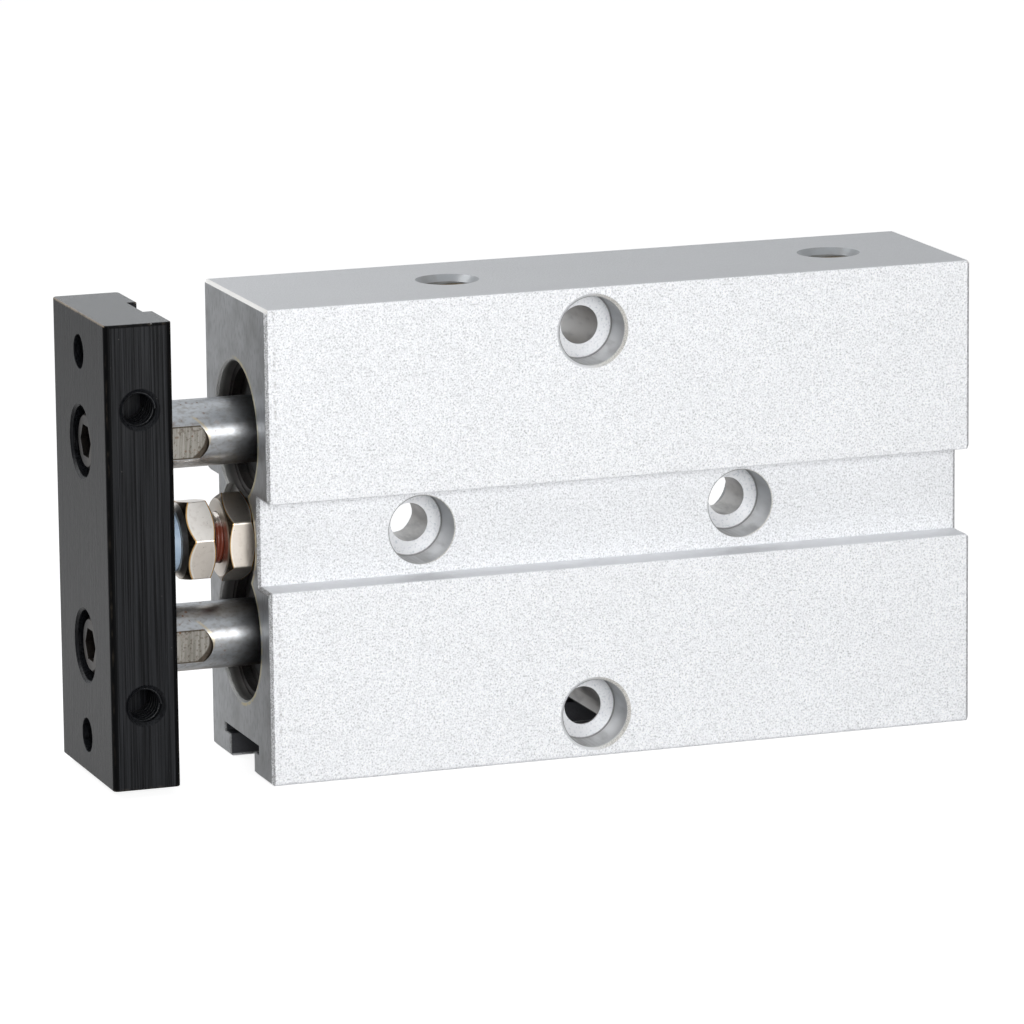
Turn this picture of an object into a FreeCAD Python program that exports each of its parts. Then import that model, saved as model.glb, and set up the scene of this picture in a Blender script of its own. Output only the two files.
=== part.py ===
"""Guided pneumatic cylinder with two piston rods, built piece by piece.

An extruded aluminium body holds two parallel bores.  A piston rod runs in each bore through a long
guiding rod cover, and both rods carry one end plate, so the plate can't turn.  Between the rods an
adjustable stop bolt with a soft bumper limits how far the plate comes back.

Millimetres.  +Z is up and the rods point along -X.  The origin is the bottom centre of the box that
holds the whole cylinder with its plate drawn in.
"""
import FreeCAD, Part
import math
import os
import Sketcher
from types import SimpleNamespace

SHEET = "Dimensions"
X_AXIS = FreeCAD.Vector(1, 0, 0)
Y_AXIS = FreeCAD.Vector(0, 1, 0)
Z_AXIS = FreeCAD.Vector(0, 0, 1)
CORNERS_PER_FLATS = 1.1547005  # a hexagon's width across corners over its width across flats
CONE_SLOPE = 0.5773503  # rise of the 30 degree cone that trims the corners of nuts and heads
CORNER_REACH = 1.1  # an edge further out than this many half flats lies on a corner
ARC_STEPS = 24  # straight pieces that stand for the rounded end of a wrench flat

DIMENSIONS = {
    # extruded body
    "body_length": 72.0,
    "body_depth": 19.1,
    "body_height": 46.0,
    "long_edge_round": 0.15,
    "base_edge_round": 0.35,
    "end_chamfer": 0.32,
    "groove_width": 8.5,
    "groove_depth": 3.4,
    # sensor slot along the underside
    "slot_neck_width": 8.0,
    "slot_neck_depth": 2.2,
    "slot_wide_width": 11.0,
    "slot_depth": 3.15,
    # bores, rods and their shared middle height
    "axis_height": 23.05,
    "rod_pitch": 19.8,
    "bore_radius": 5.0,
    "mouth_radius": 6.6,
    "mouth_chamfer": 0.2,
    "front_mouth_depth": 11.5,
    "rear_mouth_depth": 7.0,
    "ring_inset": 1.3,
    "ring_groove_radius": 6.85,
    "ring_groove_width": 1.0,
    # mounting holes through the body
    "bolt_hole_radius": 1.88,
    "counterbore_radius": 3.3,
    "counterbore_depth": 3.8,
    "hole_chamfer": 0.25,
    "side_hole_chamfer": 0.28,
    "groove_hole_chamfer": 0.08,
    "hole_middle_x": 32.85,
    "side_hole_pitch": 37.5,
    "groove_hole_pitch": 32.7,
    # air ports
    "front_port_x": 21.5,
    "rear_port_x": 61.0,
    "port_radius": 2.45,
    "port_depth": 5.0,
    "port_chamfer": 0.62,
    "passage_radius": 1.25,
    # stop bolt, jam nut and bumper, all on one line a little below the middle of the rods
    "stop_height": 22.6,
    "stop_recess_radius": 5.5,
    "stop_recess_depth": 0.7,
    "stop_thread_radius": 2.5,
    "stop_hole_depth": 11.5,
    "stop_reach": 10.0,
    "stop_head_flats": 7.4,
    "stop_head_thick": 3.3,
    "stop_head_turn": 51.7,
    "jam_nut_flats": 7.6,
    "jam_nut_thick": 2.8,
    "jam_nut_turn": 32.3,
    "stop_head_gap": 1.1,
    "hexagon_face_share": 0.95,
    "hexagon_edge_round": 0.25,
    "stop_head_face_share": 0.85,
    "stop_head_slope": 0.9,
    "cutter_overrun": 1.0,
    "bumper_radius": 2.9,
    "bumper_stem_radius": 1.5,
    "bumper_stem_length": 2.0,
    # end plate
    "plate_gap": 8.8,
    "plate_thick": 6.6,
    "plate_depth": 17.6,
    "plate_height": 44.7,
    "plate_middle_z": 23.1,
    "plate_round": 0.5,
    "plate_end_round": 0.12,
    "plate_groove_width": 5.4,
    "plate_groove_depth": 1.0,
    "plate_thread_radius": 1.65,
    "plate_face_hole_pitch": 37.2,
    "plate_side_hole_pitch": 28.4,
    "plate_side_hole_depth": 5.0,
    "plate_side_hole_chamfer": 0.38,
    "plate_face_hole_chamfer": 0.05,
    "screw_pocket_radius": 3.4,
    "screw_pocket_depth": 3.5,
    "screw_clearance_radius": 1.6,
    # plate screws
    "screw_head_radius": 2.75,
    "screw_head_height": 3.0,
    "screw_head_round": 0.3,
    "screw_socket_flats": 3.0,
    "screw_socket_depth": 1.3,
    "screw_shank_radius": 1.45,
    "screw_length": 10.0,
    # piston rods
    "rod_radius": 3.25,
    "rod_spigot_radius": 2.6,
    "rod_flats": 5.5,
    "rod_flat_length": 5.15,
    "rod_flat_bulge": 3.6,
    "rod_flat_turn": 8.0,
    "rod_tap_radius": 1.5,
    "rod_tap_depth": 10.0,
    "rod_tail_radius": 2.0,
    "rod_chamfer": 0.3,
    # running and fitting clearances
    "rod_clearance": 0.05,
    "fit_clearance": 0.05,
    "face_gap": 0.05,
    # rod cover with its seal and O-ring
    "cover_tip_radius": 4.0,
    "cover_nose_end": 19.5,
    "cover_tip_end": 23.6,
    "rod_seal_radius": 5.0,
    "rod_seal_length": 3.0,
    "seal_lip_spread": 0.5,
    "o_ring_section_radius": 0.55,
    "o_ring_groove_width": 1.4,
    "o_ring_slack": 0.01,
    "cover_o_ring_x": 7.5,
    # pistons
    "piston_front_x": 45.2,
    "piston_radius": 4.92,
    "piston_length": 9.5,
    "seal_groove_radius": 3.6,
    "piston_seal_offset": 1.8,
    "piston_seal_width": 2.2,
    "wear_groove_radius": 4.3,
    "wear_ring_offset": 5.6,
    "wear_ring_width": 2.4,
    "spacer_thick": 2.6,
    "spacer_radius": 4.6,
    "piston_nut_flats": 7.0,
    "piston_nut_thick": 2.2,
    "rod_tail_reach": 0.7,
    "front_bumper_thick": 1.5,
    "front_bumper_radius": 4.6,
    # rear cover
    "rear_cover_spigot": 0.5,
    "rear_o_ring_inset": 2.3,
    "rear_bumper_radius": 3.5,
    "rear_bumper_thick": 1.5,
    "rear_bumper_chamfer": 0.5,
    "rear_dish_rim": 2.0,
    "rear_dish_depth": 1.0,
    # snap rings
    "snap_ring_thick": 0.9,
    "snap_ring_radius": 6.8,
    "snap_ring_width": 0.82,
    "snap_ear_radius": 1.15,
    "snap_ear_hole_radius": 0.5,
    "snap_ear_reach": 5.1,
    "snap_ear_spread": 2.37,
    "snap_gap_half": 1.3,
}


class Size:
    """A length that knows its number and the spreadsheet formula that gives it."""

    def __init__(self, value, formula):
        self.value = value
        self.formula = formula

    def combined(self, other, operator, value):
        return Size(value, "(%s %s %s)" % (self.formula, operator, other.formula))

    def __add__(self, other):
        other = as_size(other)
        return self.combined(other, "+", self.value + other.value)

    def __sub__(self, other):
        other = as_size(other)
        return self.combined(other, "-", self.value - other.value)

    def __mul__(self, other):
        other = as_size(other)
        return self.combined(other, "*", self.value * other.value)

    def __truediv__(self, other):
        other = as_size(other)
        return self.combined(other, "/", self.value / other.value)

    def __neg__(self):
        return Size(-self.value, "(0 - %s)" % self.formula)


def as_size(number):
    """Wraps a plain number, so that it can stand in a formula."""
    return number if isinstance(number, Size) else Size(float(number), repr(float(number)))


def make_sheet(doc):
    """Writes the driving dimensions to the sheet and returns them as named sizes."""
    sheet = doc.addObject("Spreadsheet::Sheet", SHEET)
    sizes = {}
    for row, (name, value) in enumerate(DIMENSIONS.items(), start=1):
        sheet.set("A%d" % row, name)
        sheet.set("B%d" % row, str(value))
        sheet.setAlias("B%d" % row, name)
        sizes[name] = Size(value, "%s.%s" % (SHEET, name))
    doc.recompute()
    return SimpleNamespace(**sizes)


doc = FreeCAD.newDocument("guided_cylinder")
d = make_sheet(doc)

# Places that many pieces share, along X from the middle of the whole cylinder.
end_face_x = (d.plate_gap + d.plate_thick - d.body_length) / 2
rear_face_x = end_face_x + d.body_length
plate_inner_x = end_face_x - d.plate_gap
plate_outer_x = plate_inner_x - d.plate_thick
upper_z = d.axis_height + d.rod_pitch / 2
lower_z = d.axis_height - d.rod_pitch / 2
LINES = (("upper", upper_z), ("lower", lower_z))

sub_parts = []


# ---------------------------------------------------------------- shared building steps

def bind(item, property_name, size):
    """Binds a property to a formula of the sheet."""
    item.setExpression(property_name, as_size(size).formula)


def finish(item, label, x=0, y=0, z=0, turn_axis=None, turn=0):
    """Names a sub-part, puts it in its place and adds it to the list that is written out."""
    item.Label = label
    if turn_axis is not None:
        turned_frame = FreeCAD.Rotation(turn_axis, as_size(turn).value)
        item.Placement = FreeCAD.Placement(FreeCAD.Vector(), turned_frame)
        bind(item, "Placement.Rotation.Angle", turn)
    for letter, coordinate in (("x", x), ("y", y), ("z", z)):
        bind(item, "Placement.Base.%s" % letter, coordinate)
    sub_parts.append(item)
    return item


def new_body(name):
    return doc.addObject("PartDesign::Body", name + "_body")


def new_sketch(body, name, plane, offset=(0, 0, 0)):
    """Adds a sketch on one of the body's own origin planes, moved by offset in the sketch's axes."""
    sketch = body.newObject("Sketcher::SketchObject", name)
    role = plane + "_Plane"
    support = [feature for feature in body.Origin.OriginFeatures if feature.Role == role][0]
    sketch.AttachmentSupport = (support, "")
    sketch.MapMode = "FlatFace"
    for letter, distance in zip("xyz", offset):
        bind(sketch, "AttachmentOffset.Base.%s" % letter, distance)
    return sketch


def fix_coordinate(sketch, kind, axis, geometry, point, distance):
    """Fixes one coordinate of a sketch point, measured from the sketch's origin."""
    distance = as_size(distance)
    if distance.value == 0:
        sketch.addConstraint(Sketcher.Constraint("PointOnObject", geometry, point, axis))
        return
    if distance.value > 0:
        ends = (-1, 1, geometry, point)
    else:
        ends = (geometry, point, -1, 1)
        distance = -distance
    index = sketch.addConstraint(Sketcher.Constraint(kind, *ends, distance.value))
    bind(sketch, "Constraints[%d]" % index, distance)


def fix_point(sketch, geometry, point, x, y):
    fix_coordinate(sketch, "DistanceX", -2, geometry, point, x)
    fix_coordinate(sketch, "DistanceY", -1, geometry, point, y)


def outline(sketch, points):
    """Draws a closed outline of straight lines with every corner dimensioned."""
    corners = [FreeCAD.Vector(as_size(x).value, as_size(y).value, 0) for x, y in points]
    count = len(corners)
    first = sketch.GeometryCount
    for index in range(count):
        sketch.addGeometry(Part.LineSegment(corners[index], corners[(index + 1) % count]))
    for index, (x, y) in enumerate(points):
        following = first + (index + 1) % count
        sketch.addConstraint(Sketcher.Constraint("Coincident", first + index, 2, following, 1))
        fix_point(sketch, first + index, 1, x, y)


def circle(sketch, x, y, radius):
    """Draws a circle with its centre and radius dimensioned."""
    centre = FreeCAD.Vector(as_size(x).value, as_size(y).value, 0)
    index = sketch.addGeometry(Part.Circle(centre, Z_AXIS, radius.value))
    fix_point(sketch, index, 3, x, y)
    datum = sketch.addConstraint(Sketcher.Constraint("Radius", index, radius.value))
    bind(sketch, "Constraints[%d]" % datum, radius)


def hexagon(sketch, flats):
    """Draws a regular hexagon about the origin, with one corner on the horizontal axis."""
    radius = flats * CORNERS_PER_FLATS / 2
    corners = [FreeCAD.Rotation(Z_AXIS, 60 * step).multVec(X_AXIS * radius.value) for step in range(6)]
    guide = sketch.addGeometry(Part.Circle(FreeCAD.Vector(), Z_AXIS, radius.value), True)
    sketch.addConstraint(Sketcher.Constraint("Coincident", guide, 3, -1, 1))
    datum = sketch.addConstraint(Sketcher.Constraint("Radius", guide, radius.value))
    bind(sketch, "Constraints[%d]" % datum, radius)
    sides = []
    for step in range(6):
        sides.append(sketch.addGeometry(Part.LineSegment(corners[step], corners[(step + 1) % 6])))
    for step, side in enumerate(sides):
        sketch.addConstraint(Sketcher.Constraint("Coincident", side, 2, sides[(step + 1) % 6], 1))
        sketch.addConstraint(Sketcher.Constraint("PointOnObject", side, 1, guide))
    for side in sides[1:]:
        sketch.addConstraint(Sketcher.Constraint("Equal", sides[0], side))
    sketch.addConstraint(Sketcher.Constraint("PointOnObject", sides[0], 1, -1))


def pad(body, sketch, length):
    feature = body.newObject("PartDesign::Pad", sketch.Name + "_pad")
    feature.Profile = sketch
    bind(feature, "Length", length)
    doc.recompute()
    return feature


def turn_up(body, points, name="section"):
    """Turns a half section about X into a solid of revolution."""
    sketch = new_sketch(body, body.Name + "_" + name, "XZ")
    outline(sketch, points)
    feature = body.newObject("PartDesign::Revolution", sketch.Name + "_turned")
    feature.Profile = sketch
    feature.ReferenceAxis = (sketch, ["H_Axis"])
    feature.Angle = 360
    doc.recompute()
    return feature


def turned(name, points):
    body = new_body(name)
    turn_up(body, points)
    return body


def cut_round(body, name, plane, axis, offset, points):
    """Cuts a solid of revolution out of a body and makes sure that it took material away."""
    before = body.Shape.Volume
    sketch = new_sketch(body, body.Name + "_" + name, plane, offset)
    outline(sketch, points)
    feature = body.newObject("PartDesign::Groove", sketch.Name + "_cut")
    feature.Profile = sketch
    feature.ReferenceAxis = (sketch, [axis])
    feature.Angle = 360
    doc.recompute()
    expect_smaller(body, before, sketch.Name)
    return feature


def cut_through(body, sketch, length=None, reverse=False):
    """Pockets a sketch into its body, through all of it unless a length is given."""
    before = body.Shape.Volume
    feature = body.newObject("PartDesign::Pocket", sketch.Name + "_pocket")
    feature.Profile = sketch
    feature.Reversed = reverse
    if length is None:
        feature.Type = "ThroughAll"
    else:
        bind(feature, "Length", length)
    doc.recompute()
    expect_smaller(body, before, sketch.Name)
    return feature


def expect_smaller(body, before, name):
    if body.Shape.Volume >= before - 1e-6:
        raise RuntimeError("%s cuts nothing" % name)


def dress_edges(body, kind, property_name, size, wanted):
    """Rounds or chamfers the edges of a body's newest feature that a test picks out."""
    base = body.Tip
    names = ["Edge%d" % (i + 1) for i, edge in enumerate(base.Shape.Edges) if wanted(edge)]
    feature = body.newObject("PartDesign::" + kind, "%s_%s_%d" % (body.Name, kind.lower(), len(body.Group)))
    feature.Base = (base, names)
    bind(feature, property_name, size)
    doc.recompute()
    return feature


def runs_along(edge, axis):
    """Tells whether an edge is a straight line parallel to an axis."""
    if edge.Curve.TypeId != "Part::GeomLine":
        return False
    return abs(abs(edge.Curve.Direction.dot(axis)) - 1) < 1e-6


def near(first, second):
    return abs(first - as_size(second).value) < 1e-4


# ---------------------------------------------------------------- housing: the extruded body

def body_outline():
    """The extrusion's section, seen along X: a rectangle with a groove down each broad side."""
    side = d.body_depth / 2
    floor = side - d.groove_depth
    low = d.axis_height - d.groove_width / 2
    high = d.axis_height + d.groove_width / 2
    right = [(side, 0), (side, low), (floor, low), (floor, high), (side, high), (side, d.body_height)]
    left = [(-y, z) for y, z in reversed(right)]
    return right + left


def sensor_slot_outline():
    neck = d.slot_neck_width / 2
    wide = d.slot_wide_width / 2
    right = [(neck, 0), (neck, d.slot_neck_depth), (wide, d.slot_neck_depth), (wide, d.slot_depth)]
    left = [(-y, z) for y, z in reversed(right)]
    return right + left


def bore_section():
    """Half section of one bore, from the end face: mouth, snap ring groove, bore and rear mouth."""
    mouth = d.mouth_radius
    ring = d.ring_groove_radius
    length = d.body_length
    ring_end = d.ring_inset + d.ring_groove_width
    rear_start = length - d.rear_mouth_depth
    return [
        (0, 0),
        (0, mouth + d.mouth_chamfer),
        (d.mouth_chamfer, mouth),
        (d.ring_inset, mouth),
        (d.ring_inset, ring),
        (ring_end, ring),
        (ring_end, mouth),
        (d.front_mouth_depth, mouth),
        (d.front_mouth_depth, d.bore_radius),
        (rear_start, d.bore_radius),
        (rear_start, mouth),
        (length - ring_end, mouth),
        (length - ring_end, ring),
        (length - d.ring_inset, ring),
        (length - d.ring_inset, mouth),
        (length - d.mouth_chamfer, mouth),
        (length, mouth + d.mouth_chamfer),
        (length, 0),
    ]


def mounting_hole_section(mouth_y, chamfer):
    """Half section of a bolt hole with a counterbore at each end, mouths at plus and minus mouth_y."""
    wide = d.counterbore_radius
    narrow = d.bolt_hole_radius
    shoulder = mouth_y - d.counterbore_depth
    chamfer_y = mouth_y - chamfer
    far = [
        (narrow, shoulder),
        (wide, shoulder),
        (wide, chamfer_y),
        (wide + chamfer, mouth_y),
        (0, mouth_y),
    ]
    near_half = [(x, -y) for x, y in reversed(far)]
    return near_half + far


def port_section():
    """Half section of an air port: threaded mouth, drilled tip and the passage into both bores."""
    top = d.body_height
    floor = top - d.port_depth
    passage = d.passage_radius
    bottom = lower_z
    return [
        (0, top),
        (d.port_radius + d.port_chamfer, top),
        (d.port_radius, top - d.port_chamfer),
        (d.port_radius, floor),
        (passage, floor - (d.port_radius - passage)),
        (passage, bottom),
        (0, bottom),
    ]


def stop_hole_section():
    """Half section of the stop bolt's hole: shallow recess for the jam nut, thread, drilled tip."""
    recess = d.stop_recess_depth
    thread = d.stop_thread_radius
    return [
        (0, 0),
        (0, d.stop_recess_radius),
        (recess, d.stop_recess_radius),
        (recess, thread),
        (d.stop_hole_depth, thread),
        (d.stop_hole_depth + thread / 2, 0),
    ]


def make_body_block():
    body = new_body("body_block")
    section = new_sketch(body, "body_section", "YZ")
    outline(section, body_outline())
    pad(body, section, d.body_length)

    groove_floor = d.body_depth / 2 - d.groove_depth
    dress_edges(body, "Chamfer", "Size", d.end_chamfer,
                lambda edge: near(edge.CenterOfMass.x, 0) or near(edge.CenterOfMass.x, d.body_length))
    dress_edges(body, "Fillet", "Radius", d.base_edge_round,
                lambda edge: runs_along(edge, X_AXIS) and near(edge.CenterOfMass.z, 0))
    dress_edges(body, "Fillet", "Radius", d.long_edge_round,
                lambda edge: runs_along(edge, X_AXIS)
                and near(abs(edge.CenterOfMass.y), d.body_depth / 2)
                and edge.CenterOfMass.z > d.body_height.value / 4)

    slot = new_sketch(body, "slot_section", "YZ")
    outline(slot, sensor_slot_outline())
    cut_through(body, slot, reverse=True)

    for name, z in LINES:
        cut_round(body, name + "_bore", "XZ", "H_Axis", (0, z, 0), bore_section())
    cut_round(body, "stop_hole", "XZ", "H_Axis", (0, d.stop_height, 0), stop_hole_section())

    side_mouth = d.body_depth / 2
    for name, direction in (("top", 1), ("bottom", -1)):
        z = d.body_height / 2 + d.side_hole_pitch / 2 * direction
        cut_round(body, name + "_side_hole", "XY", "V_Axis", (d.hole_middle_x, 0, z),
                  mounting_hole_section(side_mouth, d.side_hole_chamfer))
    for name, direction in (("front", -1), ("rear", 1)):
        x = d.hole_middle_x + d.groove_hole_pitch / 2 * direction
        cut_round(body, name + "_groove_hole", "XY", "V_Axis", (x, 0, d.axis_height),
                  mounting_hole_section(groove_floor, d.groove_hole_chamfer))
    for name, x in (("front", d.front_port_x), ("rear", d.rear_port_x)):
        cut_round(body, name + "_port", "XZ", "V_Axis", (x, 0, 0), port_section())
    finish(body, "body_block", end_face_x)


# ---------------------------------------------------------------- housing: front of each bore

def make_rod_cover(name, z):
    """Long guide bush for the rod: flange behind the snap ring, nose in the bore, slim tip."""
    start = d.ring_inset + d.ring_groove_width
    flange = d.mouth_radius - d.fit_clearance
    nose = d.bore_radius - d.fit_clearance
    hole = d.rod_radius + d.rod_clearance
    groove_half = d.o_ring_groove_width / 2
    groove = flange - d.o_ring_section_radius * 2
    seal_pocket = d.rod_seal_radius + d.fit_clearance
    points = [
        (start, seal_pocket),
        (start, flange),
        (d.cover_o_ring_x - groove_half, flange),
        (d.cover_o_ring_x - groove_half, groove),
        (d.cover_o_ring_x + groove_half, groove),
        (d.cover_o_ring_x + groove_half, flange),
        (d.front_mouth_depth, flange),
        (d.front_mouth_depth, nose),
        (d.cover_nose_end, nose),
        (d.cover_nose_end, d.cover_tip_radius),
        (d.cover_tip_end, d.cover_tip_radius),
        (d.cover_tip_end, hole),
        (start + d.rod_seal_length, hole),
        (start + d.rod_seal_length, seal_pocket),
    ]
    finish(turned("rod_cover_" + name, points), "rod_cover_" + name, end_face_x, 0, z)


def make_rod_seal(name, z):
    """Lip seal in the cover's front pocket, with a V groove that faces the pressure side."""
    inner = d.rod_radius + d.rod_clearance
    length = d.rod_seal_length
    middle = (inner + d.rod_seal_radius) / 2
    lip = d.seal_lip_spread
    points = [
        (0, inner),
        (0, d.rod_seal_radius),
        (length, d.rod_seal_radius),
        (length, middle + lip),
        (length / 2, middle),
        (length, middle - lip),
        (length, inner),
    ]
    start = end_face_x + d.ring_inset + d.ring_groove_width
    finish(turned("rod_seal_" + name, points), "rod_seal_" + name, start, 0, z)


def make_o_ring(label, x, z):
    ring = doc.addObject("Part::Torus", label + "_ring")
    section = d.o_ring_section_radius
    bind(ring, "Radius2", section - d.o_ring_slack)
    bind(ring, "Radius1", d.mouth_radius - d.fit_clearance - section)
    finish(ring, label, x, 0, z, Y_AXIS, 90)


def make_snap_ring(label, x, z):
    """Internal retaining ring: a thin open ring with two ears that take the pliers' tips."""
    thick = d.snap_ring_thick

    def disc(part, radius, ear_side=None):
        item = doc.addObject("Part::Cylinder", label + "_" + part)
        bind(item, "Radius", radius)
        bind(item, "Height", thick)
        if ear_side is not None:
            bind(item, "Placement.Base.x", d.snap_ear_spread * ear_side)
            bind(item, "Placement.Base.y", -d.snap_ear_reach)
        return item

    def cut(part, base, tool):
        item = doc.addObject("Part::Cut", label + "_" + part)
        item.Base = base
        item.Tool = tool
        return item

    def fuse(part, shapes):
        item = doc.addObject("Part::MultiFuse", label + "_" + part)
        item.Shapes = shapes
        return item

    inside_radius = d.snap_ring_radius - d.snap_ring_width
    band = cut("band", disc("outside", d.snap_ring_radius), disc("inside", inside_radius))
    gap = doc.addObject("Part::Box", label + "_gap")
    bind(gap, "Length", d.snap_gap_half * 2)
    bind(gap, "Width", d.snap_ring_radius)
    bind(gap, "Height", thick)
    bind(gap, "Placement.Base.x", -d.snap_gap_half)
    bind(gap, "Placement.Base.y", -d.snap_ring_radius)
    open_band = cut("open_band", band, gap)
    ears = [disc("ear_%d" % (side + 1), d.snap_ear_radius, side) for side in (-1, 1)]
    ear_holes = [disc("ear_hole_%d" % (side + 1), d.snap_ear_hole_radius, side) for side in (-1, 1)]
    ring = cut("ring", fuse("blank", [open_band] + ears), fuse("holes", ear_holes))
    finish(ring, label, x, 0, z, Y_AXIS, 90)


# ---------------------------------------------------------------- housing: rear of each bore

def make_rear_cover(name, z):
    start = d.body_length - d.rear_mouth_depth
    end = d.body_length - d.ring_inset - d.ring_groove_width
    flange = d.mouth_radius - d.fit_clearance
    groove = flange - d.o_ring_section_radius * 2
    groove_half = d.o_ring_groove_width / 2
    middle = start + d.rear_o_ring_inset
    dish = flange - d.rear_dish_rim
    dish_floor = end - d.rear_dish_depth
    points = [
        (start - d.rear_cover_spigot, 0),
        (start - d.rear_cover_spigot, d.bore_radius - d.fit_clearance),
        (start, d.bore_radius - d.fit_clearance),
        (start, flange),
        (middle - groove_half, flange),
        (middle - groove_half, groove),
        (middle + groove_half, groove),
        (middle + groove_half, flange),
        (end, flange),
        (end, dish),
        (dish_floor, dish),
        (dish_floor, 0),
    ]
    finish(turned("rear_cover_" + name, points), "rear_cover_" + name, end_face_x, 0, z)
    make_o_ring("rear_o_ring_" + name, end_face_x + middle, z)


def make_rear_bumper(name, z):
    start = d.body_length - d.rear_mouth_depth - d.rear_cover_spigot - d.rear_bumper_thick
    radius = d.rear_bumper_radius
    chamfer = d.rear_bumper_chamfer
    points = [
        (0, 0),
        (0, radius - chamfer),
        (chamfer, radius),
        (d.rear_bumper_thick, radius),
        (d.rear_bumper_thick, 0),
    ]
    finish(turned("rear_bumper_" + name, points), "rear_bumper_" + name, end_face_x + start, 0, z)


# ---------------------------------------------------------------- stop bolt, jam nut, bumper

def trim_corners(body, name, start, flats, side, share=d.hexagon_face_share, slope=CONE_SLOPE):
    """Turns a hexagon's corners down to a cone at one end; side is 1 when the face looks along -X."""
    start = as_size(start)
    face = flats / 2 * share
    reach = flats * CORNERS_PER_FLATS / 2 + d.cutter_overrun
    depth = (reach - face) * slope
    points = [(start, face), (start, reach), (start + depth * side, reach)]
    cut_round(body, name, "XZ", "H_Axis", (0, 0, 0), points)


def break_corners(body, flats):
    """Rounds the six long edges of a hexagon."""
    def on_corner(edge):
        centre = edge.CenterOfMass
        return runs_along(edge, X_AXIS) and math.hypot(centre.y, centre.z) > (flats / 2).value * CORNER_REACH

    dress_edges(body, "Fillet", "Radius", d.hexagon_edge_round, on_corner)


def make_jam_nut():
    body = new_body("jam_nut")
    sides = new_sketch(body, "jam_nut_sides", "YZ")
    hexagon(sides, d.jam_nut_flats)
    circle(sides, 0, 0, d.stop_thread_radius)
    pad(body, sides, d.jam_nut_thick)
    break_corners(body, d.jam_nut_flats)
    trim_corners(body, "outer_cone", 0, d.jam_nut_flats, 1)
    trim_corners(body, "inner_cone", d.jam_nut_thick, d.jam_nut_flats, -1)
    start = end_face_x + d.stop_recess_depth - d.jam_nut_thick
    finish(body, "jam_nut", start, 0, d.stop_height, X_AXIS, d.jam_nut_turn)


def stop_head_x():
    """Where the stop bolt's head begins, on the side of the end plate."""
    nut_start = end_face_x + d.stop_recess_depth - d.jam_nut_thick
    return nut_start - d.stop_head_gap - d.stop_head_thick


def make_stop_bolt():
    body = new_body("stop_bolt")
    sides = new_sketch(body, "stop_bolt_sides", "YZ")
    hexagon(sides, d.stop_head_flats)
    pad(body, sides, d.stop_head_thick)
    break_corners(body, d.stop_head_flats)
    trim_corners(body, "outer_cone", 0, d.stop_head_flats, 1, d.stop_head_face_share, d.stop_head_slope)
    trim_corners(body, "inner_cone", d.stop_head_thick, d.stop_head_flats, -1)
    shank = d.stop_thread_radius - d.fit_clearance
    end = end_face_x + d.stop_reach - stop_head_x()
    points = [
        (d.stop_head_thick / 2, 0),
        (d.stop_head_thick / 2, shank),
        (end - d.rod_chamfer, shank),
        (end, shank - d.rod_chamfer),
        (end, 0),
    ]
    turn_up(body, points, "shank")
    stem = d.bumper_stem_radius + d.fit_clearance
    depth = d.bumper_stem_length + d.fit_clearance * 2
    cut_round(body, "stem_hole", "XZ", "H_Axis", (0, 0, 0), [(0, 0), (0, stem), (depth, stem), (depth, 0)])
    finish(body, "stop_bolt", stop_head_x(), 0, d.stop_height, X_AXIS, d.stop_head_turn)


def make_stop_bumper():
    """Soft white pad between the stop bolt's head and the end plate, with a stem in the head."""
    face = plate_inner_x + d.face_gap
    length = stop_head_x() - d.face_gap - face
    radius = d.bumper_radius
    edge = d.hole_chamfer
    stem_end = length + d.face_gap + d.bumper_stem_length
    points = [
        (0, 0),
        (0, radius - edge),
        (edge, radius),
        (length, radius),
        (length, d.bumper_stem_radius),
        (stem_end, d.bumper_stem_radius),
        (stem_end, 0),
    ]
    finish(turned("stop_bumper", points), "stop_bumper", face, 0, d.stop_height)


# ---------------------------------------------------------------- end plate and its screws

def plate_outline():
    """The plate's section, seen from above: a bar with a shallow key groove down its inner side."""
    half = d.plate_depth / 2
    key = d.plate_groove_width / 2
    floor = d.plate_thick - d.plate_groove_depth
    right = [(0, half), (d.plate_thick, half), (d.plate_thick, key), (floor, key)]
    left = [(x, -y) for x, y in reversed(right)]
    return right + left


def plate_thread_section(depth, chamfer):
    """Half section of a tapped hole that starts at zero and is chamfered at its mouth."""
    radius = d.plate_thread_radius
    return [(0, 0), (0, radius + chamfer), (chamfer, radius), (depth, radius), (depth, 0)]


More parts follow.
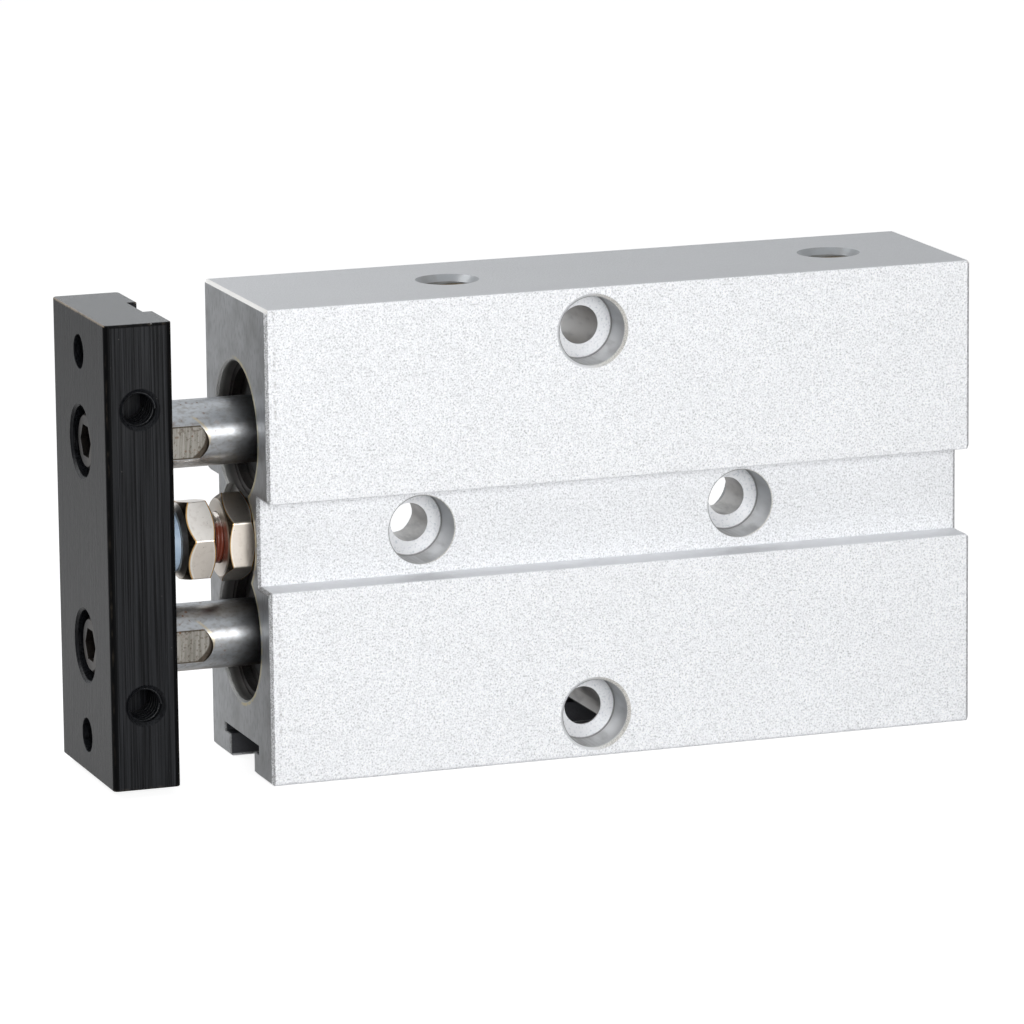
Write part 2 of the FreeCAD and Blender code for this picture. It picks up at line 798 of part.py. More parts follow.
def make_end_plate():
    body = new_body("end_plate")
    section = new_sketch(body, "plate_section", "XY")
    outline(section, plate_outline())
    pad(body, section, d.plate_height)
    half = d.plate_depth / 2
    floor = d.plate_thick - d.plate_groove_depth
    key_corner = d.plate_groove_width / 2 + d.face_gap

    def on_corner(edge):
        """Picks the four upright corner edges and leaves those of the key groove sharp."""
        return runs_along(edge, Z_AXIS) and near(abs(edge.CenterOfMass.y), half)

    def on_end(edge):
        """Picks the outer edges of the plate's top and bottom and leaves those of the key groove sharp."""
        centre = edge.CenterOfMass
        in_key = centre.x > (floor - d.face_gap).value and abs(centre.y) < key_corner.value
        at_end = near(centre.z, 0) or near(centre.z, d.plate_height)
        return at_end and not in_key

    dress_edges(body, "Fillet", "Radius", d.plate_round, on_corner)
    dress_edges(body, "Fillet", "Radius", d.plate_end_round, on_end)

    base_z = d.plate_middle_z - d.plate_height / 2
    pocket = d.screw_pocket_radius
    edge_chamfer = d.hole_chamfer
    screw_points = [
        (0, 0),
        (0, pocket + edge_chamfer),
        (edge_chamfer, pocket),
        (d.screw_pocket_depth, pocket),
        (d.screw_pocket_depth, d.screw_clearance_radius),
        (d.plate_thick, d.screw_clearance_radius),
        (d.plate_thick, 0),
    ]
    for name, z in LINES:
        cut_round(body, name + "_screw_hole", "XZ", "H_Axis", (0, z - base_z, 0), screw_points)
    for name, direction in (("top", 1), ("bottom", -1)):
        face_z = d.body_height / 2 + d.plate_face_hole_pitch / 2 * direction - base_z
        cut_round(body, name + "_face_hole", "XZ", "H_Axis", (0, face_z, 0),
                  plate_thread_section(d.plate_thick, d.plate_face_hole_chamfer))
        side_z = d.axis_height + d.plate_side_hole_pitch / 2 * direction - base_z
        for side_name, side in (("front", -1), ("back", 1)):
            drilled = plate_thread_section(d.plate_side_hole_depth, d.plate_side_hole_chamfer)
            points = [(radius, (half - depth) * side) for depth, radius in drilled]
            cut_round(body, "%s_%s_hole" % (name, side_name), "XY", "V_Axis",
                      (d.plate_thick / 2, 0, side_z), points)
    finish(body, "end_plate", plate_outer_x, 0, base_z)


def plate_screw_x():
    return plate_outer_x + d.screw_pocket_depth - d.screw_head_height


def make_plate_screw(name, z):
    """Socket head cap screw that pulls the rod against the plate."""
    body = new_body("plate_screw_" + name)
    head = d.screw_head_radius
    rounding = d.screw_head_round
    head_end = d.screw_head_height
    tip = head_end + d.screw_length
    points = [
        (0, 0),
        (0, head - rounding),
        (rounding, head),
        (head_end, head),
        (head_end, d.screw_shank_radius),
        (tip - rounding, d.screw_shank_radius),
        (tip, d.screw_shank_radius - rounding),
        (tip, 0),
    ]
    turn_up(body, points)
    socket = new_sketch(body, "socket_" + name, "YZ")
    hexagon(socket, d.screw_socket_flats)
    cut_through(body, socket, d.screw_socket_depth, reverse=True)
    finish(body, "plate_screw_" + name, plate_screw_x(), 0, z)


# ---------------------------------------------------------------- piston rods and pistons

def rounded_end(tip, half_width):
    """The far side of a wrench flat: a shallow curve that a milling cutter leaves."""
    points = []
    for step in range(ARC_STEPS + 1):
        across = step * 2 / ARC_STEPS - 1
        points.append((tip - d.rod_flat_bulge * across ** 2, half_width * across))
    return points


def make_piston_rod(name, z):
    """Rod with wrench flats beside the plate, a tapped front end and a slim tail for the piston."""
    body = new_body("piston_rod_" + name)
    spigot = d.plate_groove_depth - d.face_gap
    shoulder = d.piston_front_x - (plate_inner_x - end_face_x) + spigot
    tail_end = shoulder + d.piston_length + d.spacer_thick + d.piston_nut_thick + d.rod_tail_reach
    chamfer = d.rod_chamfer
    points = [
        (0, 0),
        (0, d.rod_spigot_radius),
        (spigot, d.rod_spigot_radius),
        (spigot, d.rod_radius),
        (shoulder, d.rod_radius),
        (shoulder, d.rod_tail_radius),
        (tail_end - chamfer, d.rod_tail_radius),
        (tail_end, d.rod_tail_radius - chamfer),
        (tail_end, 0),
    ]
    turn_up(body, points)
    tap = d.rod_tap_radius
    cut_round(body, "tapped_end", "XZ", "H_Axis", (0, 0, 0),
              [(0, 0), (0, tap), (d.rod_tap_depth, tap), (d.rod_tap_depth + tap / 2, 0)])
    for side in (-1, 1):
        flat = new_sketch(body, "%s_flat_%d" % (body.Name, side + 1), "XZ", (0, 0, d.rod_flats / 2 * side))
        start = spigot - d.face_gap
        end = spigot + d.rod_flat_length
        radius = d.rod_radius + d.rod_chamfer
        outline(flat, [(start, -radius)] + rounded_end(end, radius) + [(start, radius)])
        cut_through(body, flat, d.rod_radius, reverse=side > 0)
    finish(body, "piston_rod_" + name, plate_inner_x - spigot, 0, z, X_AXIS, d.rod_flat_turn)


def make_piston(name, z):
    body_radius = d.piston_radius
    hole = d.rod_tail_radius + d.fit_clearance
    seal_start = d.piston_seal_offset
    seal_end = seal_start + d.piston_seal_width
    wear_start = d.wear_ring_offset
    wear_end = wear_start + d.wear_ring_width
    points = [
        (0, hole),
        (0, body_radius),
        (seal_start, body_radius),
        (seal_start, d.seal_groove_radius),
        (seal_end, d.seal_groove_radius),
        (seal_end, body_radius),
        (wear_start, body_radius),
        (wear_start, d.wear_groove_radius),
        (wear_end, d.wear_groove_radius),
        (wear_end, body_radius),
        (d.piston_length, body_radius),
        (d.piston_length, hole),
    ]
    start = end_face_x + d.piston_front_x
    finish(turned("piston_" + name, points), "piston_" + name, start, 0, z)
    band_radius = d.bore_radius - d.fit_clearance
    make_band("piston_seal_" + name, start + seal_start, z, d.seal_groove_radius, band_radius,
              d.piston_seal_width)
    make_band("wear_ring_" + name, start + wear_start, z, d.wear_groove_radius, band_radius,
              d.wear_ring_width)


def make_band(label, x, z, inner, outer, width):
    """Plain ring that fills a groove with a little room at each side."""
    room = d.face_gap
    points = [(room, inner + room), (room, outer), (width - room, outer), (width - room, inner + room)]
    finish(turned(label, points), label, x, 0, z)


def make_spacer(label, z):
    """Ring behind the piston, clamped by the nut: the magnet below, a plain spacer above."""
    start = end_face_x + d.piston_front_x + d.piston_length
    hole = d.rod_tail_radius + d.fit_clearance
    points = [(0, hole), (0, d.spacer_radius), (d.spacer_thick, d.spacer_radius), (d.spacer_thick, hole)]
    finish(turned(label, points), label, start, 0, z)


def make_piston_nut(name, z):
    body = new_body("piston_nut_" + name)
    sides = new_sketch(body, "piston_nut_sides_" + name, "YZ")
    hexagon(sides, d.piston_nut_flats)
    circle(sides, 0, 0, d.rod_tail_radius + d.fit_clearance)
    pad(body, sides, d.piston_nut_thick)
    trim_corners(body, "cone", d.piston_nut_thick, d.piston_nut_flats, -1)
    start = end_face_x + d.piston_front_x + d.piston_length + d.spacer_thick
    finish(body, "piston_nut_" + name, start, 0, z)


def make_front_bumper(name, z):
    """Rubber ring on the rod, ahead of the piston, that meets the rod cover at full reach."""
    hole = d.rod_radius + d.rod_clearance
    points = [
        (0, hole),
        (0, d.front_bumper_radius),
        (d.front_bumper_thick, d.front_bumper_radius),
        (d.front_bumper_thick, hole),
    ]
    start = end_face_x + d.piston_front_x - d.front_bumper_thick
    finish(turned("front_bumper_" + name, points), "front_bumper_" + name, start, 0, z)


# ---------------------------------------------------------------- assembly

make_body_block()
make_jam_nut()
make_stop_bolt()
make_stop_bumper()
make_end_plate()
front_ring_x = end_face_x + d.ring_inset + d.face_gap
rear_ring_x = rear_face_x - d.ring_inset - d.ring_groove_width + d.face_gap
for line_name, line_z in LINES:
    make_rod_cover(line_name, line_z)
    make_rod_seal(line_name, line_z)
    make_o_ring("cover_o_ring_" + line_name, end_face_x + d.cover_o_ring_x, line_z)
    make_snap_ring("front_snap_ring_" + line_name, front_ring_x, line_z)
    make_rear_cover(line_name, line_z)
    make_rear_bumper(line_name, line_z)
    make_snap_ring("rear_snap_ring_" + line_name, rear_ring_x, line_z)
    make_plate_screw(line_name, line_z)
    make_piston_rod(line_name, line_z)
    make_front_bumper(line_name, line_z)
    make_piston(line_name, line_z)
    make_piston_nut(line_name, line_z)
make_spacer("spacer_ring", upper_z)
make_spacer("magnet_ring", lower_z)

doc.recompute()
for item in doc.Objects:
    if "Invalid" in item.State or "Error" in item.State:
        raise RuntimeError("%s failed: %s" % (item.Name, item.State))
os.makedirs("parts", exist_ok=True)
for item in sub_parts:
    if item.Shape.isNull() or not item.Shape.isValid() or not item.Shape.Solids:
        raise RuntimeError("%s has no valid solid" % item.Label)
for item in sub_parts:
    item.Shape.exportStep("parts/%s.step" % item.Label)
    print("%-26s %9.2f mm3" % (item.Label, item.Shape.Volume))
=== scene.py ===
"""Guided pneumatic cylinder: an aluminium body, a black end plate on two steel rods and a stop bolt."""
import logging
import math
from dataclasses import dataclass
from enum import Enum
from typing import Sequence, Union

import bmesh
import bpy
from mathutils import Matrix, Vector


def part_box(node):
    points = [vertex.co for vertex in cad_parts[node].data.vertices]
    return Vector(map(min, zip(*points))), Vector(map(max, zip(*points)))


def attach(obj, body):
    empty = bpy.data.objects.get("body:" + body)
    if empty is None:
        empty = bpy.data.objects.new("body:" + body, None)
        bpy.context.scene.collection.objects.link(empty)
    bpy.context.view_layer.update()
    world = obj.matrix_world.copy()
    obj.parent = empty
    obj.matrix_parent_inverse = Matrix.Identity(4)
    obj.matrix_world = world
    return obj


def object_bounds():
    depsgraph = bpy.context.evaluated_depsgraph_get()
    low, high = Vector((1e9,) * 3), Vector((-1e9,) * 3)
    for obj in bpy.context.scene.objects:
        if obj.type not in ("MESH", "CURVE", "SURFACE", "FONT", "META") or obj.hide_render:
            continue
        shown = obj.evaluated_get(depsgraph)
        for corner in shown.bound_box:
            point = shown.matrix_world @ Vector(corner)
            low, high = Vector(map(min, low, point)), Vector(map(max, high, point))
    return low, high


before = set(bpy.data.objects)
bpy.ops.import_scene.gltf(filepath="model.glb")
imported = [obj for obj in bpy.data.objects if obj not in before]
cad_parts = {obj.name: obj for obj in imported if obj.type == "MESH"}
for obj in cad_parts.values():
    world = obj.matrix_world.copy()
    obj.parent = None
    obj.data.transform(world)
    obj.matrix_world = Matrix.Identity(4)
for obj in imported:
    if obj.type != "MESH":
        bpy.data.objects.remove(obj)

CAD_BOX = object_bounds()
MM = 0.001
WELD = 1e-7              # metres between points of a new mesh that are merged
FLOOR_GAP = 0.02         # millimetres from the cylinder's base to the floor
SEAT_INSET = 0.5         # millimetres from the plate's faces to the start of its threads
TURNED_STEEL = ((0.60, 0.605, 0.61), (0.50, 0.505, 0.51))    # turned metal, and its clouds
LOG = logging.getLogger("guided_cylinder")

Socket = bpy.types.NodeSocket
Number = Union[float, Socket]
Colour = tuple[float, float, float]


class Ride(Enum):
    """The bodies that the new pieces go with."""

    HOUSING = "housing"
    SLIDE = "slide"


class Way(Enum):
    """Directions in which holes are drilled, each with the two axes that its circle lies in."""

    ALONG_X = (0.0, 1.0, 1.0)
    ALONG_Y = (1.0, 0.0, 1.0)
    ALONG_Z = (1.0, 1.0, 0.0)


# ------------------------------------------------------------------------------ node writing

class NodeWriter:
    """Adds nodes to a tree, and links or fills their inputs."""

    def __init__(self, tree: bpy.types.NodeTree) -> None:
        """Keeps the tree that is written."""
        self.tree = tree

    def add(self, kind: str, **settings: object) -> bpy.types.Node:
        """Adds a node.

        Args:
            kind: The node's type.
            settings: Properties to set on it.

        Returns:
            The new node.
        """
        node = self.tree.nodes.new(kind)
        for key, value in settings.items():
            setattr(node, key, value)
        return node

    def feed(self, socket: Socket, value: object) -> None:
        """Links a socket to another socket, or writes a plain value to it.

        Args:
            socket: The input that is fed.
            value: An output socket, a number, or a row of numbers.
        """
        if isinstance(value, bpy.types.NodeSocket):
            self.tree.links.new(value, socket)
        elif socket.type == "RGBA":
            socket.default_value = (*value, 1.0)
        else:
            socket.default_value = value

    def sum(self, operation: str, *terms: Number) -> Socket:
        """Returns the outcome of one Math operation on the terms."""
        node = self.add("ShaderNodeMath", operation=operation)
        for socket, term in zip(node.inputs, terms):
            self.feed(socket, term)
        return node.outputs[0]

    def less(self, value: Number, part: Number) -> Socket:
        """Returns the value without the part."""
        return self.sum("SUBTRACT", value, part)

    def outside(self, mask: Number) -> Socket:
        """Returns 1 where the mask is 0."""
        return self.sum("SUBTRACT", 1.0, mask)

    def size(self, value: Number) -> Socket:
        """Returns the value without its sign."""
        return self.sum("ABSOLUTE", value)

    def all_of(self, *masks: Number) -> Socket:
        """Returns the product of several masks."""
        product = masks[0]
        for mask in masks[1:]:
            product = self.sum("MULTIPLY", product, mask)
        return product

    def any_of(self, *masks: Number) -> Socket:
        """Returns the largest of several masks."""
        largest = masks[0]
        for mask in masks[1:]:
            largest = self.sum("MAXIMUM", largest, mask)
        return largest

    def mix(self, share: Number, low: Number, high: Number) -> Socket:
        """Returns a number between low and high, by share."""
        node = self.add("ShaderNodeMix", data_type="FLOAT")
        self.feed(node.inputs[0], share)
        self.feed(node.inputs[2], low)
        self.feed(node.inputs[3], high)
        return node.outputs[0]

    def dye(self, share: Number, under: object, over: object, blend: str = "MIX") -> Socket:
        """Lays one colour over another.

        Args:
            share: How much of the upper colour shows.
            under: The colour below.
            over: The colour above.
            blend: The mix node's blend type.

        Returns:
            The mixed colour.
        """
        node = self.add("ShaderNodeMix", data_type="RGBA", blend_type=blend)
        self.feed(node.inputs[0], share)
        self.feed(node.inputs[6], under)
        self.feed(node.inputs[7], over)
        return node.outputs[2]

    def coat(self, colour: object, *layers: tuple[Number, object]) -> object:
        """Lays several layers over a colour, one after the other.

        Args:
            colour: The colour below.
            layers: How much of each layer shows, and its colour.

        Returns:
            The mixed colour.
        """
        for share, over in layers:
            colour = self.dye(share, colour, over)
        return colour


class NodeSheet(NodeWriter):
    """Writes the nodes of one material, so that a finish reads like a short sum."""

    def __init__(self, name: str) -> None:
        """Starts an empty material.

        Args:
            name: The material's name.
        """
        self.material = bpy.data.materials.new(name)
        self.material.use_nodes = True
        super().__init__(self.material.node_tree)
        self.tree.nodes.clear()
        self.point = self.add("ShaderNodeTexCoord").outputs["Object"]

    def step(self, value: Number, start: float, end: float) -> Socket:
        """Maps a value to a soft step.

        Args:
            value: The value that is compared.
            start: Where the step is 0.
            end: Where the step is 1; it may be below start.

        Returns:
            A mask from 0 to 1.
        """
        node = self.add("ShaderNodeMapRange", interpolation_type="SMOOTHSTEP")
        self.feed(node.inputs["Value"], value)
        low, high = (start, end) if start < end else (end, start)
        node.inputs["From Min"].default_value = low
        node.inputs["From Max"].default_value = high
        if start > end:
            node.inputs["To Min"].default_value = 1.0
            node.inputs["To Max"].default_value = 0.0
        return node.outputs["Result"]

    def grey(self, level: Number) -> Socket:
        """Returns a neutral colour of that level."""
        node = self.add("ShaderNodeCombineColor")
        for socket in node.inputs[:3]:
            self.feed(socket, level)
        return node.outputs[0]

    def scaled(self, size: float, stretch: Sequence[float] = (1.0, 1.0, 1.0)) -> Socket:
        """Returns the object's points, divided by a grain size.

        Args:
            size: The grain size in millimetres.
            stretch: How often the grain is repeated along each axis, against that size.
        """
        node = self.add("ShaderNodeVectorMath", operation="MULTIPLY")
        self.tree.links.new(self.point, node.inputs[0])
        node.inputs[1].default_value = [share / (size * MM) for share in stretch]
        return node.outputs[0]

    def noise(
        self, size: float, stretch: Sequence[float] = (1.0, 1.0, 1.0), detail: float = 2.0, twist: float = 0.0
    ) -> Socket:
        """Returns cloudy noise from 0 to 1.

        Args:
            size: The size of its clouds in millimetres.
            stretch: See scaled.
            detail: How many finer layers it has.
            twist: How far the clouds are distorted.
        """
        node = self.add("ShaderNodeTexNoise")
        self.tree.links.new(self.scaled(size, stretch), node.inputs["Vector"])
        node.inputs["Scale"].default_value = 1.0
        node.inputs["Detail"].default_value = detail
        node.inputs["Distortion"].default_value = twist
        return node.outputs["Fac"]

    def spots(self, size: float, radius: float, share: float) -> Socket:
        """Returns a mask of scattered round spots.

        Args:
            size: The distance between neighbouring places for a spot, in millimetres.
            radius: The largest radius of a spot, against that distance.
            share: The part of the places that hold one.
        """
        node = self.add("ShaderNodeTexVoronoi")
        self.tree.links.new(self.scaled(size), node.inputs["Vector"])
        node.inputs["Scale"].default_value = 1.0
        parts = self.add("ShaderNodeSeparateColor")
        self.tree.links.new(node.outputs["Color"], parts.inputs[0])
        near = self.step(node.outputs["Distance"], radius, radius * 0.45)
        chosen = self.step(parts.outputs[0], share, share * 0.6)
        return self.all_of(near, chosen)

    def coordinates(self) -> tuple[Socket, Socket, Socket]:
        """Returns the point's X, Y and Z in millimetres."""
        node = self.add("ShaderNodeSeparateXYZ")
        self.tree.links.new(self.scaled(1.0), node.inputs[0])
        return node.outputs[0], node.outputs[1], node.outputs[2]

    def reach(self, centre: Sequence[float], way: Way) -> Socket:
        """Returns how far the point lies from a line, in millimetres.

        Args:
            centre: A point of the line, in millimetres.
            way: The line's direction.
        """
        shift = self.add("ShaderNodeVectorMath", operation="SUBTRACT")
        self.tree.links.new(self.scaled(1.0), shift.inputs[0])
        shift.inputs[1].default_value = centre
        flat = self.add("ShaderNodeVectorMath", operation="MULTIPLY")
        self.tree.links.new(shift.outputs[0], flat.inputs[0])
        flat.inputs[1].default_value = way.value
        length = self.add("ShaderNodeVectorMath", operation="LENGTH")
        self.tree.links.new(flat.outputs[0], length.inputs[0])
        return length.outputs["Value"]

    def relief(self, height: Socket, depth: float, under: Union[Socket, None] = None) -> Socket:
        """Returns a normal that is dented by a height.

        Args:
            height: The height from 0 to 1.
            depth: The dent's depth in millimetres.
            under: A normal that is already dented.
        """
        node = self.add("ShaderNodeBump")
        node.inputs["Distance"].default_value = depth * MM
        self.tree.links.new(height, node.inputs["Height"])
        if under is not None:
            self.tree.links.new(under, node.inputs["Normal"])
        return node.outputs["Normal"]

    def shade(self, **sockets: object) -> bpy.types.Material:
        """Closes the material with its surface shader.

        Args:
            sockets: Values or sockets for the shader's inputs, named in lower case with underscores.

        Returns:
            The finished material.
        """
        shader = self.add("ShaderNodeBsdfPrincipled")
        names = {socket.name.lower().replace(" ", "_"): socket for socket in shader.inputs}
        for key, value in sockets.items():
            self.feed(names[key], value)
        output = self.add("ShaderNodeOutputMaterial")
        self.tree.links.new(shader.outputs[0], output.inputs["Surface"])
        return self.material


# ------------------------------------------------------------------------------ finishes

@dataclass(frozen=True)
class RoundZone:
    """The surroundings of a drilled hole, where the skin is machined: lengths in millimetres."""

    centre: tuple[float, float, float]
    way: Way
    radius: float
    lowest: float = -100.0
    floor: float = 0.0

    def mask(self, sheet: NodeSheet) -> Socket:
        """Returns 1 inside the zone and 0 outside it."""
        inside = sheet.step(sheet.reach(self.centre, self.way), self.radius + 0.02, self.radius)
        height = sheet.coordinates()[2]
        return sheet.all_of(inside, sheet.step(height, self.lowest, self.lowest + 0.01))

    def corner(self, sheet: NodeSheet, wall: float) -> Socket:
        """Returns 1 along the corner between the counterbore's wall and its floor, where shade is painted.

        Args:
            sheet: The material's node sheet.
            wall: The counterbore's radius in millimetres.
        """
        away = sheet.reach(self.centre, self.way)
        rise = sheet.less(sheet.size(sheet.coordinates()[1]), self.floor)
        low = sheet.step(sheet.size(rise), 0.20, 0.08)
        return sheet.all_of(low, sheet.step(away, wall - 0.16, wall - 0.08), self.mask(sheet))

    def lower_half(self, sheet: NodeSheet) -> Socket:
        """Returns a mask that grows towards the bottom of a hole that is drilled along Y, where light is
        painted.
        """
        low = sheet.step(sheet.coordinates()[2], self.centre[2] + 1.2, self.centre[2] - 2.6)
        return sheet.all_of(low, self.mask(sheet))

    def rear_half(self, sheet: NodeSheet) -> Socket:
        """Returns a mask that grows towards the rear of a hole that is drilled along Y."""
        rear = sheet.step(sheet.coordinates()[0], self.centre[0] - 1.2, self.centre[0] + 2.0)
        return sheet.all_of(rear, self.mask(sheet))

    def drilled(self, sheet: NodeSheet) -> Socket:
        """Returns 1 in the narrow part of a counterbored hole."""
        return sheet.all_of(sheet.step(sheet.reach(self.centre, self.way), 2.0, 1.95), self.mask(sheet))

    def crease(self, sheet: NodeSheet, wall: float) -> Socket:
        """Returns 1 along the inner edge of the countersunk lip, where shade is painted."""
        away = sheet.reach(self.centre, self.way)
        outer, inner = sheet.step(away, wall - 0.02, wall + 0.01), sheet.step(away, wall + 0.11, wall + 0.05)
        return sheet.all_of(outer, inner, self.mask(sheet))

    def lip(self, sheet: NodeSheet, wall: float) -> Socket:
        """Returns 1 on the countersunk lip round the counterbore's wall."""
        away = sheet.reach(self.centre, self.way)
        return sheet.all_of(sheet.step(away, wall + 0.01, wall + 0.04), self.mask(sheet))

    def bed(self, sheet: NodeSheet) -> Socket:
        """Returns 1 on the counterbore's floor."""
        rise = sheet.less(sheet.size(sheet.coordinates()[1]), self.floor)
        return sheet.all_of(sheet.step(sheet.size(rise), 0.03, 0.01), self.mask(sheet))


@dataclass(frozen=True)
class BlastedAluminium:
    """Bead-blasted, clear anodised aluminium with machined holes and saw-cut ends, and with light and shade
    painted into its colour.
    """

    holes: tuple[RoundZone, ...]
    mouths: tuple[RoundZone, ...]
    front_end: float
    rear_end: float
    face: float
    top: float
    skin: Colour = (0.885, 0.895, 0.915)
    # turned: the hole walls' dark tone, painted shade on their upper half
    turned: Colour = (0.36, 0.375, 0.39)
    bed: Colour = (0.83, 0.84, 0.86)
    lip: Colour = (0.86, 0.84, 0.79)
    sawn_shaded: Colour = (0.43, 0.44, 0.455)
    gilt: Colour = (0.66, 0.56, 0.27)
    chamfer: float = 0.32
    counterbore: float = 3.3
    mouth_depth: float = 11.5
    ledge: float = 18.8
    ceiling: float = 27.3
    groove_floor: float = 6.15
    slot_half: float = 5.5
    slot_roof: float = 3.15

    def build(self) -> bpy.types.Material:
        """Returns the material."""
        sheet = NodeSheet("blasted_aluminium")
        step, mix, noise, all_of = sheet.step, sheet.mix, sheet.noise, sheet.all_of
        any_of, coat, dye = sheet.any_of, sheet.coat, sheet.dye
        along, depth, height = sheet.coordinates()
        stepped = [zone for zone in self.holes if zone.floor]
        holes = any_of(*[zone.mask(sheet) for zone in self.holes])
        from_front = sheet.less(along, self.front_end)
        from_rear = sheet.less(self.rear_end, along)
        from_end = sheet.sum("MINIMUM", from_front, from_rear)
        at_mouth = step(from_end, self.mouth_depth + 0.1, self.mouth_depth)
        mouths = all_of(at_mouth, any_of(*[zone.mask(sheet) for zone in self.mouths]))
        machined = any_of(holes, mouths)
        end = step(from_end, 0.04, 0.02)
        strip = all_of(
            step(from_end, 0.02, 0.04), step(from_end, self.chamfer + 0.03, self.chamfer)
        )
        skin_only = sheet.outside(any_of(machined, end))

        fine = noise(0.17, detail=3.0)
        coarse = noise(0.36, detail=2.0)
        clouds = noise(9.0, detail=3.0)
        grit = mix(step(fine, 0.32, 0.68), 1.17, 0.86)
        specks = mix(step(fine, 0.57, 0.72), 1.0, 0.74)
        # Painted shade: the top face's level is lowered to 0.76-0.84 for the light it gets.
        on_top = step(height, self.top - 0.05, self.top - 0.02)
        level = all_of(grit, specks, mix(coarse, 0.86, 1.14))
        level = all_of(
            mix(on_top, level, mix(coarse, 0.76, 0.84)), mix(clouds, 0.97, 1.03)
        )
        ledge = all_of(
            step(sheet.size(sheet.less(height, self.ledge)), 0.05, 0.02),
            step(sheet.size(depth), self.groove_floor, self.groove_floor + 0.1),
        )
        level = mix(ledge, level, mix(coarse, 1.06, 1.12))
        # Painted shade: the recessed floor of the groove is darkened by 6 %.
        sunk = all_of(
            step(sheet.size(depth), self.groove_floor + 0.1, self.groove_floor + 0.02),
            step(height, self.ledge - 0.1, self.ledge), step(height, self.ceiling + 0.1, self.ceiling),
        )
        level = all_of(level, mix(sunk, 1.0, 0.94))
        colour = dye(1.0, self.skin, sheet.grey(level), "MULTIPLY")

        scuffs = step(noise(0.11, detail=4.0), 0.42, 0.62)
        # Painted highlight: the top part of the end chamfer strip is painted near white, as if it reflected the
        # sky.
        upper = step(height, self.top - self.chamfer - 0.06, self.top - self.chamfer + 0.02)
        highlit_strip = all_of(strip, upper)
        colour = coat(
            colour,
            (all_of(strip, scuffs, 0.62), (0.26, 0.26, 0.25)),
            (highlit_strip, (0.98, 0.965, 0.94)),
        )
        scribe = all_of(
            step(from_front, 0.72, 0.9), step(from_front, 1.15, 0.95),
            step(noise(0.5, detail=4.0), 0.50, 0.62), step(depth, self.face + 0.2, self.face + 0.1),
        )
        colour = dye(all_of(scribe, 0.45), colour, (0.36, 0.35, 0.34))

        smears = noise(1.3, stretch=(1.0, 0.3, 1.0), detail=3.0)
        # Painted light and shade: the hole walls are light on their lower half and dark on their upper half,
        # and so is the narrow drilled part.
        lit = any_of(*[zone.lower_half(sheet) for zone in stepped])
        turned = dye(lit, self.turned, (0.66, 0.665, 0.67))
        drilled = any_of(*[zone.drilled(sheet) for zone in stepped])
        turned = coat(
            turned,
            (drilled, dye(lit, (0.55, 0.53, 0.52), (0.98, 0.96, 0.93))),
            (all_of(step(smears, 0.45, 0.7), 0.5), (0.30, 0.295, 0.29)),
        )
        colour = dye(holes, colour, turned)
        lip = dye(all_of(scuffs, 0.45), self.lip, (0.22, 0.21, 0.20))
        lips = any_of(*[zone.lip(sheet, self.counterbore) for zone in stepped])
        # The lip's beige, speckled colour is laid on the rear half of each lip only.
        rear_side = any_of(*[zone.rear_half(sheet) for zone in stepped])
        lip = dye(rear_side, self.skin, lip)
        colour = dye(lips, colour, lip)
        # Painted shade: a dark line along the lip's inner edge, on its front half.
        creases = any_of(*[zone.crease(sheet, self.counterbore) for zone in stepped])
        colour = dye(all_of(creases, mix(rear_side, 0.7, 0.0)), colour, (0.17, 0.16, 0.15))
        beds = any_of(*[zone.bed(sheet) for zone in stepped])
        # Painted shade: a dark line in the corner between each counterbore's wall and its floor.
        corners = any_of(*[zone.corner(sheet, self.counterbore) for zone in stepped])
        bed_shade = step(noise(0.24, detail=4.0), 0.50, 0.72)
        colour = coat(
            colour,
            (beds, dye(all_of(bed_shade, 0.6), self.bed, (0.46, 0.50, 0.55))),
            (all_of(corners, 0.75), (0.16, 0.155, 0.15)),
        )
        # Painted shade: the bore walls darken from 0.46 near the end faces to 0.17 further in.
        mouth = dye(step(from_end, 0.25, 0.8), (0.46, 0.46, 0.45), (0.17, 0.165, 0.16))
        colour = dye(mouths, colour, mouth)
        # The saw-cut end faces: their own darker finish, and painted shade that darkens them further.
        sawn_shaded = dye(step(noise(3.5, detail=4.0), 0.35, 0.8), self.sawn_shaded, (0.29, 0.295, 0.30))
        scratches = step(noise(0.35, stretch=(1.0, 1.0, 0.4), detail=4.0), 0.45, 0.7)
        sawn_shaded = dye(all_of(scratches, 0.55), sawn_shaded, (0.22, 0.225, 0.23))
        colour = dye(all_of(end, sheet.outside(machined)), colour, sawn_shaded)
        rims = []
        for zone in self.mouths:
            beyond = sheet.less(sheet.reach(zone.centre, zone.way), zone.radius)
            rims.append(all_of(step(beyond, -0.05, 0.0), step(beyond, 0.34, 0.24)))
        worn = step(noise(0.6, detail=4.0), 0.34, 0.50)
        gilt = all_of(
            any_of(*rims), end, worn, step(depth, 1.5, -1.5), sheet.outside(mouths)
        )
        colour = dye(all_of(gilt, 0.75), colour, self.gilt)
        # Painted shade: the inside of the T-slot is painted near black.
        in_slot = all_of(
            step(sheet.size(depth), self.slot_half + 0.08, self.slot_half + 0.03),
            step(height, self.slot_roof + 0.08, self.slot_roof + 0.03),
            step(height, 0.05, 0.3), step(from_end, 0.05, 0.3),
        )
        colour = dye(in_slot, colour, (0.045, 0.047, 0.055))

